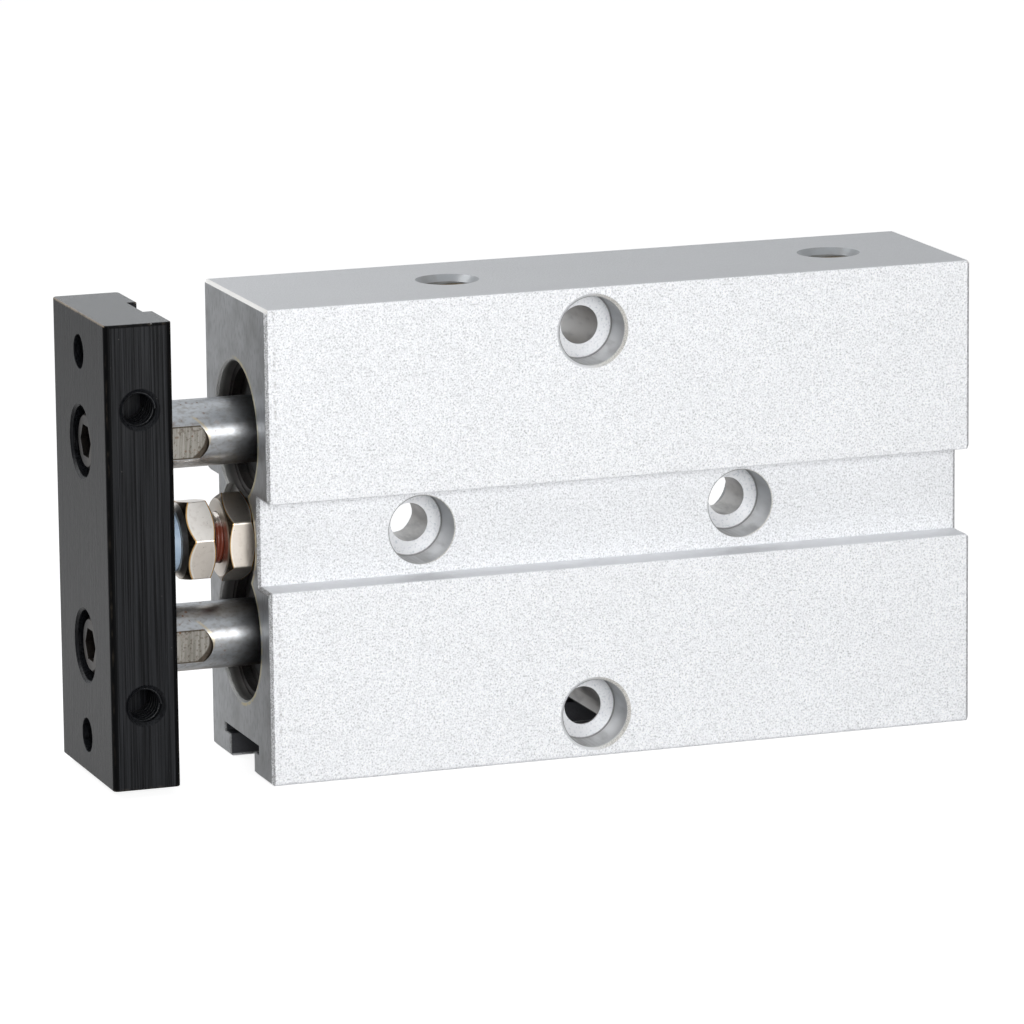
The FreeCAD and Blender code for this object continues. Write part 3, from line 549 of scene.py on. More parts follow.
        rings = sheet.sum("SINE", sheet.sum("MULTIPLY", depth, 60.0))
        grain = sheet.relief(all_of(fine, skin_only), 0.07)
        grain = sheet.relief(all_of(scuffs, strip, sheet.outside(highlit_strip)), 0.05, grain)
        grain = sheet.relief(all_of(rings, holes), 0.0015, grain)
        rough = mix(machined, mix(fine, 0.42, 0.58), mix(smears, 0.24, 0.38))
        rough = mix(end, rough, 0.38)
        metal = mix(any_of(mouths, end), 0.16, 0.70)
        metal = mix(holes, metal, 0.34)
        metal = mix(any_of(beds, lips), metal, 0.2)
        return sheet.shade(base_color=colour, metallic=metal, roughness=rough, normal=grain)


@dataclass(frozen=True)
class BlackAnodised:
    """Milled aluminium with a black anodised skin that is rubbed bare along its edges."""

    lowest: Vector
    highest: Vector
    dye_colour: Colour = (0.0078, 0.0084, 0.0100)
    bare: Colour = (0.42, 0.34, 0.25)
    edge_width: float = 0.42
    corner: float = 0.5

    def build(self) -> bpy.types.Material:
        """Returns the material."""
        sheet = NodeSheet("black_anodised_plate")
        step, mix = sheet.step, sheet.mix
        noise, all_of = sheet.noise, sheet.all_of
        middle = (self.lowest + self.highest) / 2 / MM
        half = (self.highest - self.lowest) / 2 / MM
        gaps = []
        for value, centre, size in zip(sheet.coordinates(), middle, half):
            away = sheet.size(sheet.less(value, centre))
            gaps.append(sheet.less(size, away))
        first, second, third = gaps
        low = sheet.sum("MINIMUM", first, second)
        high = sheet.sum("MAXIMUM", first, second)
        second_nearest = sheet.sum("MAXIMUM", low, sheet.sum("MINIMUM", high, third))
        wear = noise(0.6, stretch=(1.0, 1.0, 0.4), detail=5.0)
        reach = sheet.less(second_nearest, mix(wear, -0.28, 0.30))
        from_top = sheet.less(self.highest.z / MM, sheet.coordinates()[2])
        on_top = step(from_top, 0.05, 0.02)
        far_side = step(sheet.coordinates()[1], 0.0, 1.0)
        rubbed = all_of(
            step(reach, self.edge_width * 0.6, 0.0), step(wear, 0.42, 0.66),
            mix(far_side, 0.06, 0.30),
        )
        line = all_of(
            step(from_top, 0.20, 0.12), step(first, 0.13, 0.05),
            step(noise(0.5, detail=4.0), 0.30, 0.46),
        )
        upright_edge = step(sheet.sum("MAXIMUM", first, second), self.corner + 0.06, self.corner)
        below_top = all_of(
            step(from_top, 0.34, 0.24), step(from_top, 0.04, 0.08), step(second, 0.10, 0.04)
        )
        shaded = sheet.any_of(upright_edge, below_top)
        streaks = step(noise(0.13, stretch=(1.0, 1.0, 0.010), detail=3.0), 0.30, 0.70)
        hairs = step(noise(0.24, stretch=(1.0, 1.0, 0.02), detail=4.0), 0.58, 0.72)
        bands = noise(1.3, stretch=(1.0, 1.0, 0.05), detail=3.0)
        dust = sheet.spots(0.9, 0.09, 0.10)
        glints = all_of(sheet.spots(0.45, 0.30, 0.22), step(second_nearest, 0.16, 0.04))
        level = all_of(mix(streaks, 0.45, 1.55), mix(bands, 0.7, 1.3), mix(hairs, 1.0, 1.6))
        level = mix(shaded, level, 0.25)
        colour = sheet.dye(1.0, self.dye_colour, sheet.grey(level), "MULTIPLY")
        colour = sheet.coat(
            colour,
            (all_of(dust, 0.30), (0.20, 0.19, 0.18)),
            (rubbed, self.bare),
            (all_of(line, 0.62), self.bare),
            (all_of(glints, 0.6), (0.50, 0.50, 0.52)),
        )
        dents = sheet.relief(streaks, 0.007)
        dents = sheet.relief(noise(0.25, detail=4.0), 0.003, dents)
        rough = mix(streaks, 0.25, mix(bands, 0.30, 0.40))
        rough = mix(on_top, rough, 0.12)
        shine = mix(streaks, 0.11, mix(bands, 0.15, 0.23))
        shine = mix(on_top, mix(shaded, shine, 0.05), 0.30)
        return sheet.shade(base_color=colour, roughness=rough, specular_ior_level=shine, normal=dents)


@dataclass(frozen=True)
class GroundSteel:
    """A ground and polished rod with rust freckles near its bare end and two milled flats, with painted shade
    along its underside and a painted highlight past the flats.
    """

    axis_height: float
    rod_radius: float
    plate_face: float
    steel: Colour = (0.48, 0.495, 0.515)
    flat: Colour = (0.25, 0.235, 0.205)
    rust: Colour = (0.17, 0.075, 0.03)
    flat_reach: float = 5.15
    flat_bulge: float = 3.6

    def build(self) -> bpy.types.Material:
        """Returns the material."""
        sheet = NodeSheet("ground_steel_%d" % round(self.axis_height))
        step, mix, noise = sheet.step, sheet.mix, sheet.noise
        all_of, any_of, dye = sheet.all_of, sheet.any_of, sheet.dye
        along, _, height = sheet.coordinates()
        away = sheet.reach((0.0, 0.0, self.axis_height), Way.ALONG_X)
        flats = all_of(
            step(away, self.rod_radius - 0.02, self.rod_radius - 0.06),
            step(along, self.plate_face + self.flat_reach + 0.5, self.plate_face + self.flat_reach + 0.3),
        )
        hoops = noise(0.09, stretch=(1.0, 0.02, 0.02), detail=2.0)
        milling = noise(0.22, stretch=(1.0, 0.3, 0.06), detail=4.0)
        haze = noise(1.8, detail=4.0)
        near_end = step(along, self.plate_face + 10.5, self.plate_face + 2.0)
        freckles = any_of(sheet.spots(0.55, 0.28, 0.16), sheet.spots(0.95, 0.22, 0.16))
        stains = all_of(step(noise(0.55, detail=5.0, twist=0.6), 0.60, 0.74), near_end)
        # Painted shade with a brown tint along the rod's underside.
        under = step(
            height, self.axis_height - self.rod_radius * 0.72, self.axis_height - self.rod_radius * 0.97
        )
        mottle = step(noise(0.32, stretch=(0.6, 1.0, 1.0), detail=4.0), 0.42, 0.70)
        colour = dye(all_of(haze, 0.5), self.steel, (0.36, 0.37, 0.385))
        colour = sheet.coat(
            colour,
            (all_of(mottle, mix(near_end, 0.35, 0.65)), (0.27, 0.255, 0.235)),
            (all_of(under, mix(haze, 0.3, 0.9)), (0.20, 0.155, 0.11)),
        )
        pits = step(noise(0.28, detail=4.0), 0.54, 0.66)
        worn = dye(step(milling, 0.34, 0.66), self.flat, (0.40, 0.38, 0.345))
        worn = dye(all_of(pits, 0.6), worn, (0.11, 0.08, 0.055))
        colour = dye(flats, colour, worn)
        across = sheet.sum("DIVIDE", sheet.less(height, self.axis_height), self.rod_radius)
        bow = sheet.sum("MULTIPLY", sheet.sum("MULTIPLY", across, across), -self.flat_bulge)
        to_tip = sheet.less(sheet.sum("ADD", bow, self.plate_face + self.flat_reach), along)
        rims = any_of(
            step(away, self.rod_radius - 0.14, self.rod_radius - 0.08), step(to_tip, 0.34, 0.14)
        )
        colour = dye(all_of(flats, rims, 0.85), colour, (0.050, 0.034, 0.020))
        # Painted highlight: a golden band on the round surface just past the end of each flat.
        gold = all_of(
            sheet.outside(flats), step(to_tip, -0.22, -0.12), step(to_tip, 0.20, 0.10),
            step(sheet.size(across), 0.66, 0.58),
        )
        colour = dye(all_of(gold, 0.45), colour, (0.62, 0.50, 0.28))
        marks = any_of(all_of(freckles, near_end), all_of(stains, 0.7))
        colour = dye(all_of(marks, 0.85), colour, self.rust)
        dents = sheet.relief(mix(flats, hoops, milling), 0.002)
        dents = sheet.relief(marks, 0.006, dents)
        rough = mix(flats, mix(haze, 0.25, 0.37), 0.42)
        rough = mix(marks, rough, 0.65)
        metal = mix(any_of(marks, all_of(flats, 0.25)), 1.0, 0.2)
        return sheet.shade(base_color=colour, metallic=metal, roughness=rough, normal=dents)


@dataclass(frozen=True)
class Cone:
    """A cone that turns the corners of a hexagon down at one end: lengths in millimetres."""

    start: float
    radius: float
    slope: float

    def gap(self, sheet: NodeSheet, along: Socket, away: Socket) -> Socket:
        """Returns how far a point lies inside the cone, square to the axis."""
        depth = sheet.size(sheet.less(along, self.start))
        wide = sheet.sum("MULTIPLY_ADD", depth, 1.0 / self.slope, self.radius)
        return sheet.less(wide, away)


@dataclass(frozen=True)
class Nickel:
    """Warm nickel plating on a hexagon: painted shade on its turned corners, a painted highlight by their
    edges, a painted reflection on its upper facets, gold rims and red thread-locker where stated.
    """

    axis_height: float
    flats: float
    cones: tuple[Cone, Cone]
    seam: float
    locker_from: float = 0.0
    locker_to: float = 0.0
    shank: float = 2.5
    pitch: float = 0.8
    plating: Colour = (0.83, 0.765, 0.69)
    # upper: the colour of the facets above the seam, a painted reflection
    upper: Colour = (1.0, 0.945, 0.88)
    tarnish: Colour = (0.17, 0.10, 0.055)
    rim: Colour = (0.70, 0.42, 0.15)
    locker: Colour = (0.15, 0.030, 0.014)

    def build(self, name: str) -> bpy.types.Material:
        """Returns the material.

        Args:
            name: The material's name.
        """
        sheet = NodeSheet(name)
        step, mix, noise = sheet.step, sheet.mix, sheet.noise
        all_of, dye = sheet.all_of, sheet.dye
        along, depth, height = sheet.coordinates()
        away = sheet.reach((0.0, 0.0, self.axis_height), Way.ALONG_X)
        patchy = noise(0.5, detail=4.0)
        haze = noise(2.2, detail=3.0)
        first, second = (cone.gap(sheet, along, away) for cone in self.cones)
        gap = sheet.sum("MINIMUM", first, second)
        outer = step(away, self.flats / 2 * 0.98, self.flats / 2)
        turned = all_of(outer, step(gap, 0.05, 0.03))
        gold = all_of(outer, step(gap, 0.20, 0.14))
        # Painted highlight: a near-white band along the facets' edges next to the turned corners.
        white = all_of(outer, step(gap, 0.42, 0.34), mix(patchy, 0.4, 1.0))
        specks = sheet.spots(0.34, 0.20, 0.30)
        # Painted reflection: the facets above the seam take their own colour, lighter on the bolt and darker on
        # the nut.
        raised = step(height, self.axis_height + self.seam - 0.1, self.axis_height + self.seam + 0.1)
        colour = dye(raised, self.plating, self.upper)
        colour = sheet.coat(
            colour,
            (all_of(step(haze, 0.4, 0.75), 0.4), (0.76, 0.68, 0.61)),
            (all_of(step(patchy, 0.52, 0.72), 0.25), (0.58, 0.50, 0.43)),
            (all_of(specks, 0.45), self.tarnish),
            (white, (0.99, 0.96, 0.91)),
            (gold, self.rim),
        )
        # Painted shade: the turned corners are painted dark.
        corner_shade = dye(step(patchy, 0.40, 0.62), (0.22, 0.18, 0.14), (0.10, 0.08, 0.06))
        colour = dye(turned, colour, corner_shade)
        rough = mix(patchy, 0.26, 0.40)
        metal: Number = 1.0
        dents = sheet.relief(noise(0.35, detail=4.0), 0.006)
        if self.locker_to > self.locker_from:
            smear = noise(0.8, detail=3.0)
            spread = step(
                sheet.sum("ADD", height, mix(smear, -1.0, 1.0)), self.axis_height + 2.2, self.axis_height + 1.4
            )
            red = all_of(
                step(along, self.locker_from - 0.02, self.locker_from + 0.02),
                step(along, self.locker_to + 0.02, self.locker_to - 0.02),
                step(away, self.flats / 2 - 0.1, self.flats / 2 - 0.2),
                spread, step(depth, 1.2, 0.2),
            )
            colour = dye(red, colour, self.locker)
            metal = sheet.outside(red)
            angle = sheet.sum("ARCTAN2", sheet.less(height, self.axis_height), depth)
            turns = sheet.sum("SINE", sheet.sum("MULTIPLY_ADD", along, math.tau / self.pitch, angle))
            shank = step(away, self.shank + 0.15, self.shank + 0.05)
            dents = sheet.relief(all_of(sheet.sum("MULTIPLY_ADD", turns, 0.5, 0.5), shank), 0.22, dents)
        return sheet.shade(base_color=colour, metallic=metal, roughness=rough, normal=dents)


@dataclass(frozen=True)
class PlainFinish:
    """A finish with one colour that clouds and grain vary: rubber, urethane, oiled steel and the like."""

    name: str
    colour: Colour
    clouded: Colour
    roughness: float
    metallic: float = 0.0
    grain: float = 0.2
    dent: float = 0.004
    specular: float = 0.5
    stretch: tuple[float, float, float] = (1.0, 1.0, 1.0)

    def build(self) -> bpy.types.Material:
        """Returns the material."""
        sheet = NodeSheet(self.name)
        clouds = sheet.noise(self.grain * 9.0, detail=4.0)
        fine = sheet.noise(self.grain, stretch=self.stretch, detail=3.0)
        share = sheet.sum("MULTIPLY_ADD", fine, 0.5, sheet.sum("MULTIPLY", clouds, 0.5))
        colour = sheet.dye(sheet.step(share, 0.35, 0.68), self.colour, self.clouded)
        rough = sheet.mix(fine, self.roughness * 0.8, self.roughness * 1.2)
        return sheet.shade(
            base_color=colour, metallic=self.metallic, roughness=rough,
            specular_ior_level=self.specular, normal=sheet.relief(fine, self.dent),
        )


@dataclass(frozen=True)
class TurnedFinish:
    """Lathe-turned metal, with fine grooves round the axis of a line of parts."""

    name: str
    axis_height: float
    colour: Colour
    shade_colour: Colour
    pitch: float = 0.12

    def build(self) -> bpy.types.Material:
        """Returns the material."""
        sheet = NodeSheet(self.name)
        away = sheet.reach((0.0, 0.0, self.axis_height), Way.ALONG_X)
        along = sheet.coordinates()[0]
        turns = sheet.sum("SINE", sheet.sum("MULTIPLY", sheet.sum("ADD", away, along), math.tau / self.pitch))
        haze = sheet.noise(1.5, detail=4.0)
        colour = sheet.dye(sheet.step(haze, 0.35, 0.7), self.colour, self.shade_colour)
        dents = sheet.relief(turns, 0.002)
        return sheet.shade(base_color=colour, metallic=0.9, roughness=sheet.mix(haze, 0.25, 0.42), normal=dents)


# ------------------------------------------------------------------------------ repeated shapes

@dataclass(frozen=True)
class Seat:
    """A place for a repeated shape: a point in millimetres and a turn in degrees about X, Y and Z."""

    place: tuple[float, float, float]
    turn: tuple[float, float, float]


class SeatTree(NodeWriter):
    """A geometry-node tree that sets one shape on every seat of a piece."""

    def __init__(self, name: str, sizes: dict[str, float]) -> None:
        """Starts the tree.

        Args:
            name: The tree's name.
            sizes: Its named inputs, with their values in metres or counts.
        """
        super().__init__(bpy.data.node_groups.new(name, "GeometryNodeTree"))
        self.sizes = sizes
        self.sockets: dict[str, str] = {}
        self.tree.interface.new_socket("Seats", in_out="INPUT", socket_type="NodeSocketGeometry")
        for label, value in sizes.items():
            kind = "NodeSocketInt" if isinstance(value, int) else "NodeSocketFloat"
            socket = self.tree.interface.new_socket(label, in_out="INPUT", socket_type=kind)
            self.sockets[label] = socket.identifier
        self.tree.interface.new_socket("Finish", in_out="INPUT", socket_type="NodeSocketMaterial")
        self.tree.interface.new_socket("Shape", in_out="OUTPUT", socket_type="NodeSocketGeometry")
        self.given = self.add("NodeGroupInput").outputs

    def set(self, kind: str, **sockets: object) -> bpy.types.Node:
        """Adds a node and feeds its inputs.

        Args:
            kind: The node's type.
            sockets: Values or sockets for its inputs, named with underscores for spaces.

        Returns:
            The new node.
        """
        node = self.tree.nodes.new(kind)
        for key, value in sockets.items():
            self.feed(node.inputs[key.replace("_", " ")], value)
        return node

    def close(self, shape: Socket) -> None:
        """Sets the shape on the seats, makes it real and gives it its finish.

        Args:
            shape: The shape at the origin, standing along Z.
        """
        turn = self.tree.nodes.new("GeometryNodeInputNamedAttribute")
        turn.data_type = "FLOAT_VECTOR"
        turn.inputs["Name"].default_value = "turn"
        seated = self.set("GeometryNodeInstanceOnPoints", Points=self.given["Seats"], Instance=shape)
        self.tree.links.new(turn.outputs[0], seated.inputs["Rotation"])
        real = self.set("GeometryNodeRealizeInstances", Geometry=seated.outputs[0])
        dressed = self.set("GeometryNodeSetMaterial", Geometry=real.outputs[0], Material=self.given["Finish"])
        out = self.tree.nodes.new("NodeGroupOutput")
        self.tree.links.new(dressed.outputs[0], out.inputs[0])

    def make(self, name: str, seats: Sequence[Seat], material: bpy.types.Material) -> bpy.types.Object:
        """Runs the tree once and keeps its result as a plain mesh.

        Args:
            name: The new piece's name.
            seats: Where the shape is repeated.
            material: The piece's finish.

        Returns:
            The finished object, at the origin.
        """
        carrier = bpy.data.meshes.new(name + "_seats")
        carrier.from_pydata([Vector(seat.place) * MM for seat in seats], [], [])
        turns = carrier.attributes.new("turn", "FLOAT_VECTOR", "POINT")
        for item, seat in zip(turns.data, seats):
            item.vector = [math.radians(angle) for angle in seat.turn]
        piece = bpy.data.objects.new(name, carrier)
        bpy.context.scene.collection.objects.link(piece)
        modifier = piece.modifiers.new("shape", "NODES")
        modifier.node_group = self.tree
        for label, value in self.sizes.items():
            modifier[self.sockets[label]] = value
        finish_socket = self.tree.interface.items_tree["Finish"].identifier
        modifier[finish_socket] = material
        evaluated = piece.evaluated_get(bpy.context.evaluated_depsgraph_get())
        mesh = bpy.data.meshes.new_from_object(evaluated)
        piece.modifiers.remove(modifier)
        piece.data = mesh
        shell = bmesh.new()
        shell.from_mesh(mesh)
        bmesh.ops.remove_doubles(shell, verts=shell.verts, dist=WELD)
        bmesh.ops.recalc_face_normals(shell, faces=shell.faces)
        shell.to_mesh(mesh)
        shell.free()
        mesh.name = name
        return piece


class ThreadTree(SeatTree):
    """A helical ridge with closed ends: the thread of one tapped hole on every seat, running along Z."""

    def __init__(self, name: str, radius: float, pitch: float, length: float, tooth: float) -> None:
        """Builds the tree.

        Args:
            name: The tree's name.
            radius: The radius of the drilled wall that the ridge stands on, in millimetres.
            pitch: The rise of one turn, in millimetres.
            length: The length of the threaded part, in millimetres.
            tooth: How far the ridge stands out of the wall, in millimetres.
        """
        sizes = {
            "Middle radius": (radius - tooth / 2) * MM,
            "Turns": length / pitch,
            "Length": length * MM,
            "Tooth": (tooth + 0.02) * MM,
            "Root width": pitch * 0.86 * MM,
            "Crest width": pitch * 0.18 * MM,
        }
        super().__init__(name, sizes)
        helix = self.set(
            "GeometryNodeCurveSpiral", Resolution=40, Rotations=self.given["Turns"],
            Start_Radius=self.given["Middle radius"], End_Radius=self.given["Middle radius"],
            Height=self.given["Length"],
        )
        upright = self.set("GeometryNodeSetCurveNormal", Curve=helix.outputs[0])
        upright.mode = "Z_UP"
        section = self.tree.nodes.new("GeometryNodeCurvePrimitiveQuadrilateral")
        section.mode = "TRAPEZOID"
        self.feed(section.inputs["Bottom Width"], self.given["Root width"])
        self.feed(section.inputs["Top Width"], self.given["Crest width"])
        self.feed(section.inputs["Height"], self.given["Tooth"])
        section.inputs["Offset"].default_value = 0.0
        turned = self.set(
            "GeometryNodeTransform", Geometry=section.outputs[0],
            Rotation=(0.0, 0.0, math.radians(-90.0)),
        )
        ridge = self.set(
            "GeometryNodeCurveToMesh", Curve=upright.outputs[0], Profile_Curve=turned.outputs[0], Fill_Caps=True
        )
        self.close(ridge.outputs[0])


class KnurlTree(SeatTree):
    """A ring of narrow upright ridges, as on a socket screw's head, standing along Z from its seat."""

    def __init__(self, name: str, radius: float, length: float, count: int, tooth: float) -> None:
        """Builds the tree.

        Args:
            name: The tree's name.
            radius: The head's radius in millimetres.
            length: The length of the ridges in millimetres.
            count: The number of ridges.
            tooth: How far a ridge stands out, in millimetres.
        """
        sizes = {
            "Radius": radius * MM, "Length": length * MM, "Count": count, "Tooth": tooth * MM,
        }
        super().__init__(name, sizes)
        ring = self.set("GeometryNodeMeshCircle", Vertices=self.given["Count"], Radius=self.given["Radius"])
        ridge = self.set(
            "GeometryNodeMeshCylinder", Vertices=4, Radius=self.given["Tooth"], Depth=self.given["Length"]
        )
        index = self.tree.nodes.new("GeometryNodeInputIndex")
        angle = self.sum("DIVIDE", self.sum("MULTIPLY", index.outputs[0], math.tau), self.given["Count"])
        turn = self.tree.nodes.new("ShaderNodeCombineXYZ")
        self.feed(turn.inputs["Z"], angle)
        ridges = self.set("GeometryNodeInstanceOnPoints", Points=ring.outputs[0], Instance=ridge.outputs[0])
        self.tree.links.new(turn.outputs[0], ridges.inputs["Rotation"])
        self.close(ridges.outputs[0])


# ------------------------------------------------------------------------------ sub-assemblies

def dress(material: bpy.types.Material, *nodes: str) -> None:
    """Gives carried-over parts their finish.

    Args:
        material: The finish.
        nodes: The names of the parts.
    """
    for name in nodes:
        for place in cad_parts[name].material_slots:
            place.material = material
        LOG.info("%s is finished in %s", name, material.name)


def settle(piece: bpy.types.Object, ride: Ride) -> None:
    """Puts a new piece on its body and logs its face count.

    Args:
        piece: The new piece.
        ride: The body that it goes with.
    """
    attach(piece, ride.value)
    LOG.info("%s: %d faces on %s", piece.name, len(piece.data.polygons), ride.value)


def both(stem: str) -> tuple[str, str]:
    """Returns the names of the upper and the lower part of a kind."""
    return stem + "_upper", stem + "_lower"


@dataclass
class Housing:
    """The body with its holes, air ports, covers and snap rings: lengths in millimetres."""

    line_heights: tuple[float, float] = (32.95, 13.15)
    axis_height: float = 23.05
    middle_height: float = 23.0
    stop_height: float = 22.6
    hole_x: float = 32.85
    side_hole_step: float = 18.75
    side_hole_floor: float = 5.75
    groove_hole_step: float = 16.35
    groove_hole_floor: float = 2.35
    hole_rim: float = 3.60
    groove_rim_less: float = 0.2
    mouth_rim: float = 6.82
    port_x: tuple[float, float] = (21.5, 61.0)
    stop_rim: float = 5.55
    port_rim: float = 3.08
    port_zone_depth: float = 6.0
    port_wall: float = 2.45
    port_chamfer: float = 0.62
    port_pitch: float = 0.8
    port_tooth: float = 0.34
    port_thread: float = 3.6

    def __post_init__(self) -> None:
        """Reads the body's box."""
        low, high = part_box("body_block")
        self.front_end = low.x / MM
        self.rear_end = high.x / MM
        self.face = low.y / MM
        self.top = high.z / MM

    def zones(self) -> tuple[tuple[RoundZone, ...], tuple[RoundZone, ...]]:
        """Returns the machined zones of the drilled holes, and those of the bores."""
        middle = self.front_end + self.hole_x
        holes = [
            RoundZone(
                (middle, 0.0, self.middle_height + step), Way.ALONG_Y, self.hole_rim, floor=self.side_hole_floor
            )
            for step in (self.side_hole_step, -self.side_hole_step)
        ]
        holes += [
            RoundZone(
                (middle + step, 0.0, self.axis_height), Way.ALONG_Y, self.hole_rim - self.groove_rim_less,
                floor=self.groove_hole_floor,
            )
            for step in (self.groove_hole_step, -self.groove_hole_step)
        ]
        holes += [
            RoundZone(
                (self.front_end + x, 0.0, 0.0), Way.ALONG_Z, self.port_rim,
                lowest=self.top - self.port_zone_depth,
            )
            for x in self.port_x
        ]
        bores = [RoundZone((0.0, 0.0, height), Way.ALONG_X, self.mouth_rim) for height in self.line_heights]
        bores.append(RoundZone((0.0, 0.0, self.stop_height), Way.ALONG_X, self.stop_rim))
        return tuple(holes), tuple(bores)

    def build(self) -> None:
        """Dresses the housing and cuts the threads of its ports."""
        holes, mouths = self.zones()
        skin = BlastedAluminium(holes, mouths, self.front_end, self.rear_end, self.face, self.top).build()
        dress(skin, "body_block")
        tree = ThreadTree("port_thread", self.port_wall, self.port_pitch, self.port_thread, self.port_tooth)
        seats = [
            Seat((self.front_end + x, 0.0, self.top - self.port_chamfer - self.port_thread), (0.0, 0.0, 0.0))
            for x in self.port_x
        ]
        brass = PlainFinish("port_thread_metal", (0.46, 0.35, 0.20), (0.30, 0.20, 0.09), 0.34, 0.8, 0.3).build()
        settle(tree.make("port_threads", seats, brass), Ride.HOUSING)
        ring = PlainFinish(
            "oiled_spring_steel", (0.022, 0.021, 0.021), (0.050, 0.044, 0.040), 0.36, 0.7
        ).build()
        dress(ring, *both("front_snap_ring"), *both("rear_snap_ring"))
        for height, level in zip(self.line_heights, ("upper", "lower")):
            cover = TurnedFinish("bearing_alloy_" + level, height, (0.085, 0.082, 0.080), (0.13, 0.12, 0.11))
            cap = TurnedFinish("turned_cover_" + level, height, (0.58, 0.585, 0.595), (0.46, 0.46, 0.465))
            dress(cover.build(), "rod_cover_" + level)
            dress(cap.build(), "rear_cover_" + level)


@dataclass
class StopAssembly:
    """The stop bolt between the rods, with its jam nut and bumper: lengths in millimetres."""

    axis_height: float = 22.6
    head_flats: float = 7.4
    head_thick: float = 3.3
    head_face_share: float = 0.85
    head_slope: float = 0.9
    face_share: float = 0.95
    slope: float = 0.5774
    nut_flats: float = 7.6
    head_gap: float = 1.1
    head_seam: float = 0.6
    nut_seam: float = 2.1

    def build(self) -> None:
        """Dresses the bolt, the nut and the bumper."""
        nut_face, nut_back = (corner.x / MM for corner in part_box("jam_nut"))
        head_back = nut_face - self.head_gap
        head_cones = (
            Cone(head_back - self.head_thick, self.head_flats / 2 * self.head_face_share, self.head_slope),
            Cone(head_back, self.head_flats / 2 * self.face_share, self.slope),
        )
        nut_cones = (
            Cone(nut_face, self.nut_flats / 2 * self.face_share, self.slope),
            Cone(nut_back, self.nut_flats / 2 * self.face_share, self.slope),
        )
        bolt = Nickel(self.axis_height, self.head_flats, head_cones, self.head_seam, head_back, nut_face)
        # The nut's upper facets are painted darker: painted reflection.
        nut = Nickel(self.axis_height, self.nut_flats, nut_cones, self.nut_seam, upper=(0.56, 0.52, 0.47))
        dress(bolt.build("nickel_bolt"), "stop_bolt")
        dress(nut.build("nickel_nut"), "jam_nut")
        # Painted shade: the bumper's colour is darker than its own milky white.
        bumper = PlainFinish(
            "milky_urethane", (0.42, 0.54, 0.66), (0.35, 0.46, 0.59), 0.38, grain=0.5, dent=0.003
        ).build()
        dress(bumper, "stop_bumper")


@dataclass
class EndPlate:
    """The black end plate with its screws and tapped holes: lengths in millimetres."""

    line_heights: tuple[float, float] = (32.95, 13.15)
    tapped_wall: float = 1.65
    tapped_pitch: float = 0.7
    tapped_tooth: float = 0.17
    tapped_depth: float = 4.0
    side_step: float = 14.2
    face_step: float = 18.6
    axis_height: float = 23.05
    middle_height: float = 23.0
    head_radius: float = 2.75
    head_length: float = 2.4
    head_inset: float = 0.35
    knurls: int = 36
    knurl_tooth: float = 0.12
    knurl_sink: float = 0.03
    thread_margin: float = 1.9

    def build(self) -> None:
        """Dresses the plate and its screws, taps its holes and knurls the screw heads."""
        low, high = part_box("end_plate")
        plate = BlackAnodised(low, high).build()
        dress(plate, "end_plate")
        oxide = PlainFinish(
            "black_oxide", (0.016, 0.015, 0.015), (0.040, 0.032, 0.026), 0.34, 0.55, 0.25, 0.003
        ).build()
        dress(oxide, *both("plate_screw"))
        centre_x = (low.x + high.x) / 2 / MM
        side_seats = []
        for height in (self.axis_height + self.side_step, self.axis_height - self.side_step):
            side_seats.append(Seat((centre_x, low.y / MM + SEAT_INSET, height), (-90.0, 0.0, 0.0)))
            side_seats.append(Seat((centre_x, high.y / MM - SEAT_INSET, height), (90.0, 0.0, 0.0)))
        side_tree = ThreadTree(
            "side_thread", self.tapped_wall, self.tapped_pitch, self.tapped_depth, self.tapped_tooth
        )
        settle(side_tree.make("plate_side_threads", side_seats, plate), Ride.SLIDE)
        face_seats = [
            Seat((low.x / MM + SEAT_INSET, 0.0, height), (0.0, 90.0, 0.0))
            for height in (self.middle_height + self.face_step, self.middle_height - self.face_step)
        ]
        face_tree = ThreadTree(
            "face_thread", self.tapped_wall, self.tapped_pitch,
            (high.x - low.x) / MM - self.thread_margin, self.tapped_tooth,
        )
        settle(face_tree.make("plate_face_threads", face_seats, plate), Ride.SLIDE)
        head_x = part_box("plate_screw_upper")[0].x / MM + self.head_inset + self.head_length / 2
        head_seats = [Seat((head_x, 0.0, height), (0.0, 90.0, 0.0)) for height in self.line_heights]
        knurl_tree = KnurlTree(
            "head_knurl", self.head_radius - self.knurl_sink, self.head_length, self.knurls, self.knurl_tooth
        )
        settle(knurl_tree.make("screw_head_knurls", head_seats, oxide), Ride.SLIDE)


@dataclass
class RodLine:
    """One rod with the piston, seals and bumpers on it: lengths in millimetres."""

    level: str
    axis_height: float
    rod_radius: float = 3.25

    def build(self) -> None:
        """Dresses the rod and its piston."""
        plate_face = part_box("end_plate")[1].x / MM
        dress(GroundSteel(self.axis_height, self.rod_radius, plate_face).build(), "piston_rod_" + self.level)
        turned = TurnedFinish(
            "turned_piston_" + self.level, self.axis_height, *TURNED_STEEL
        ).build()
        dress(turned, "piston_" + self.level)


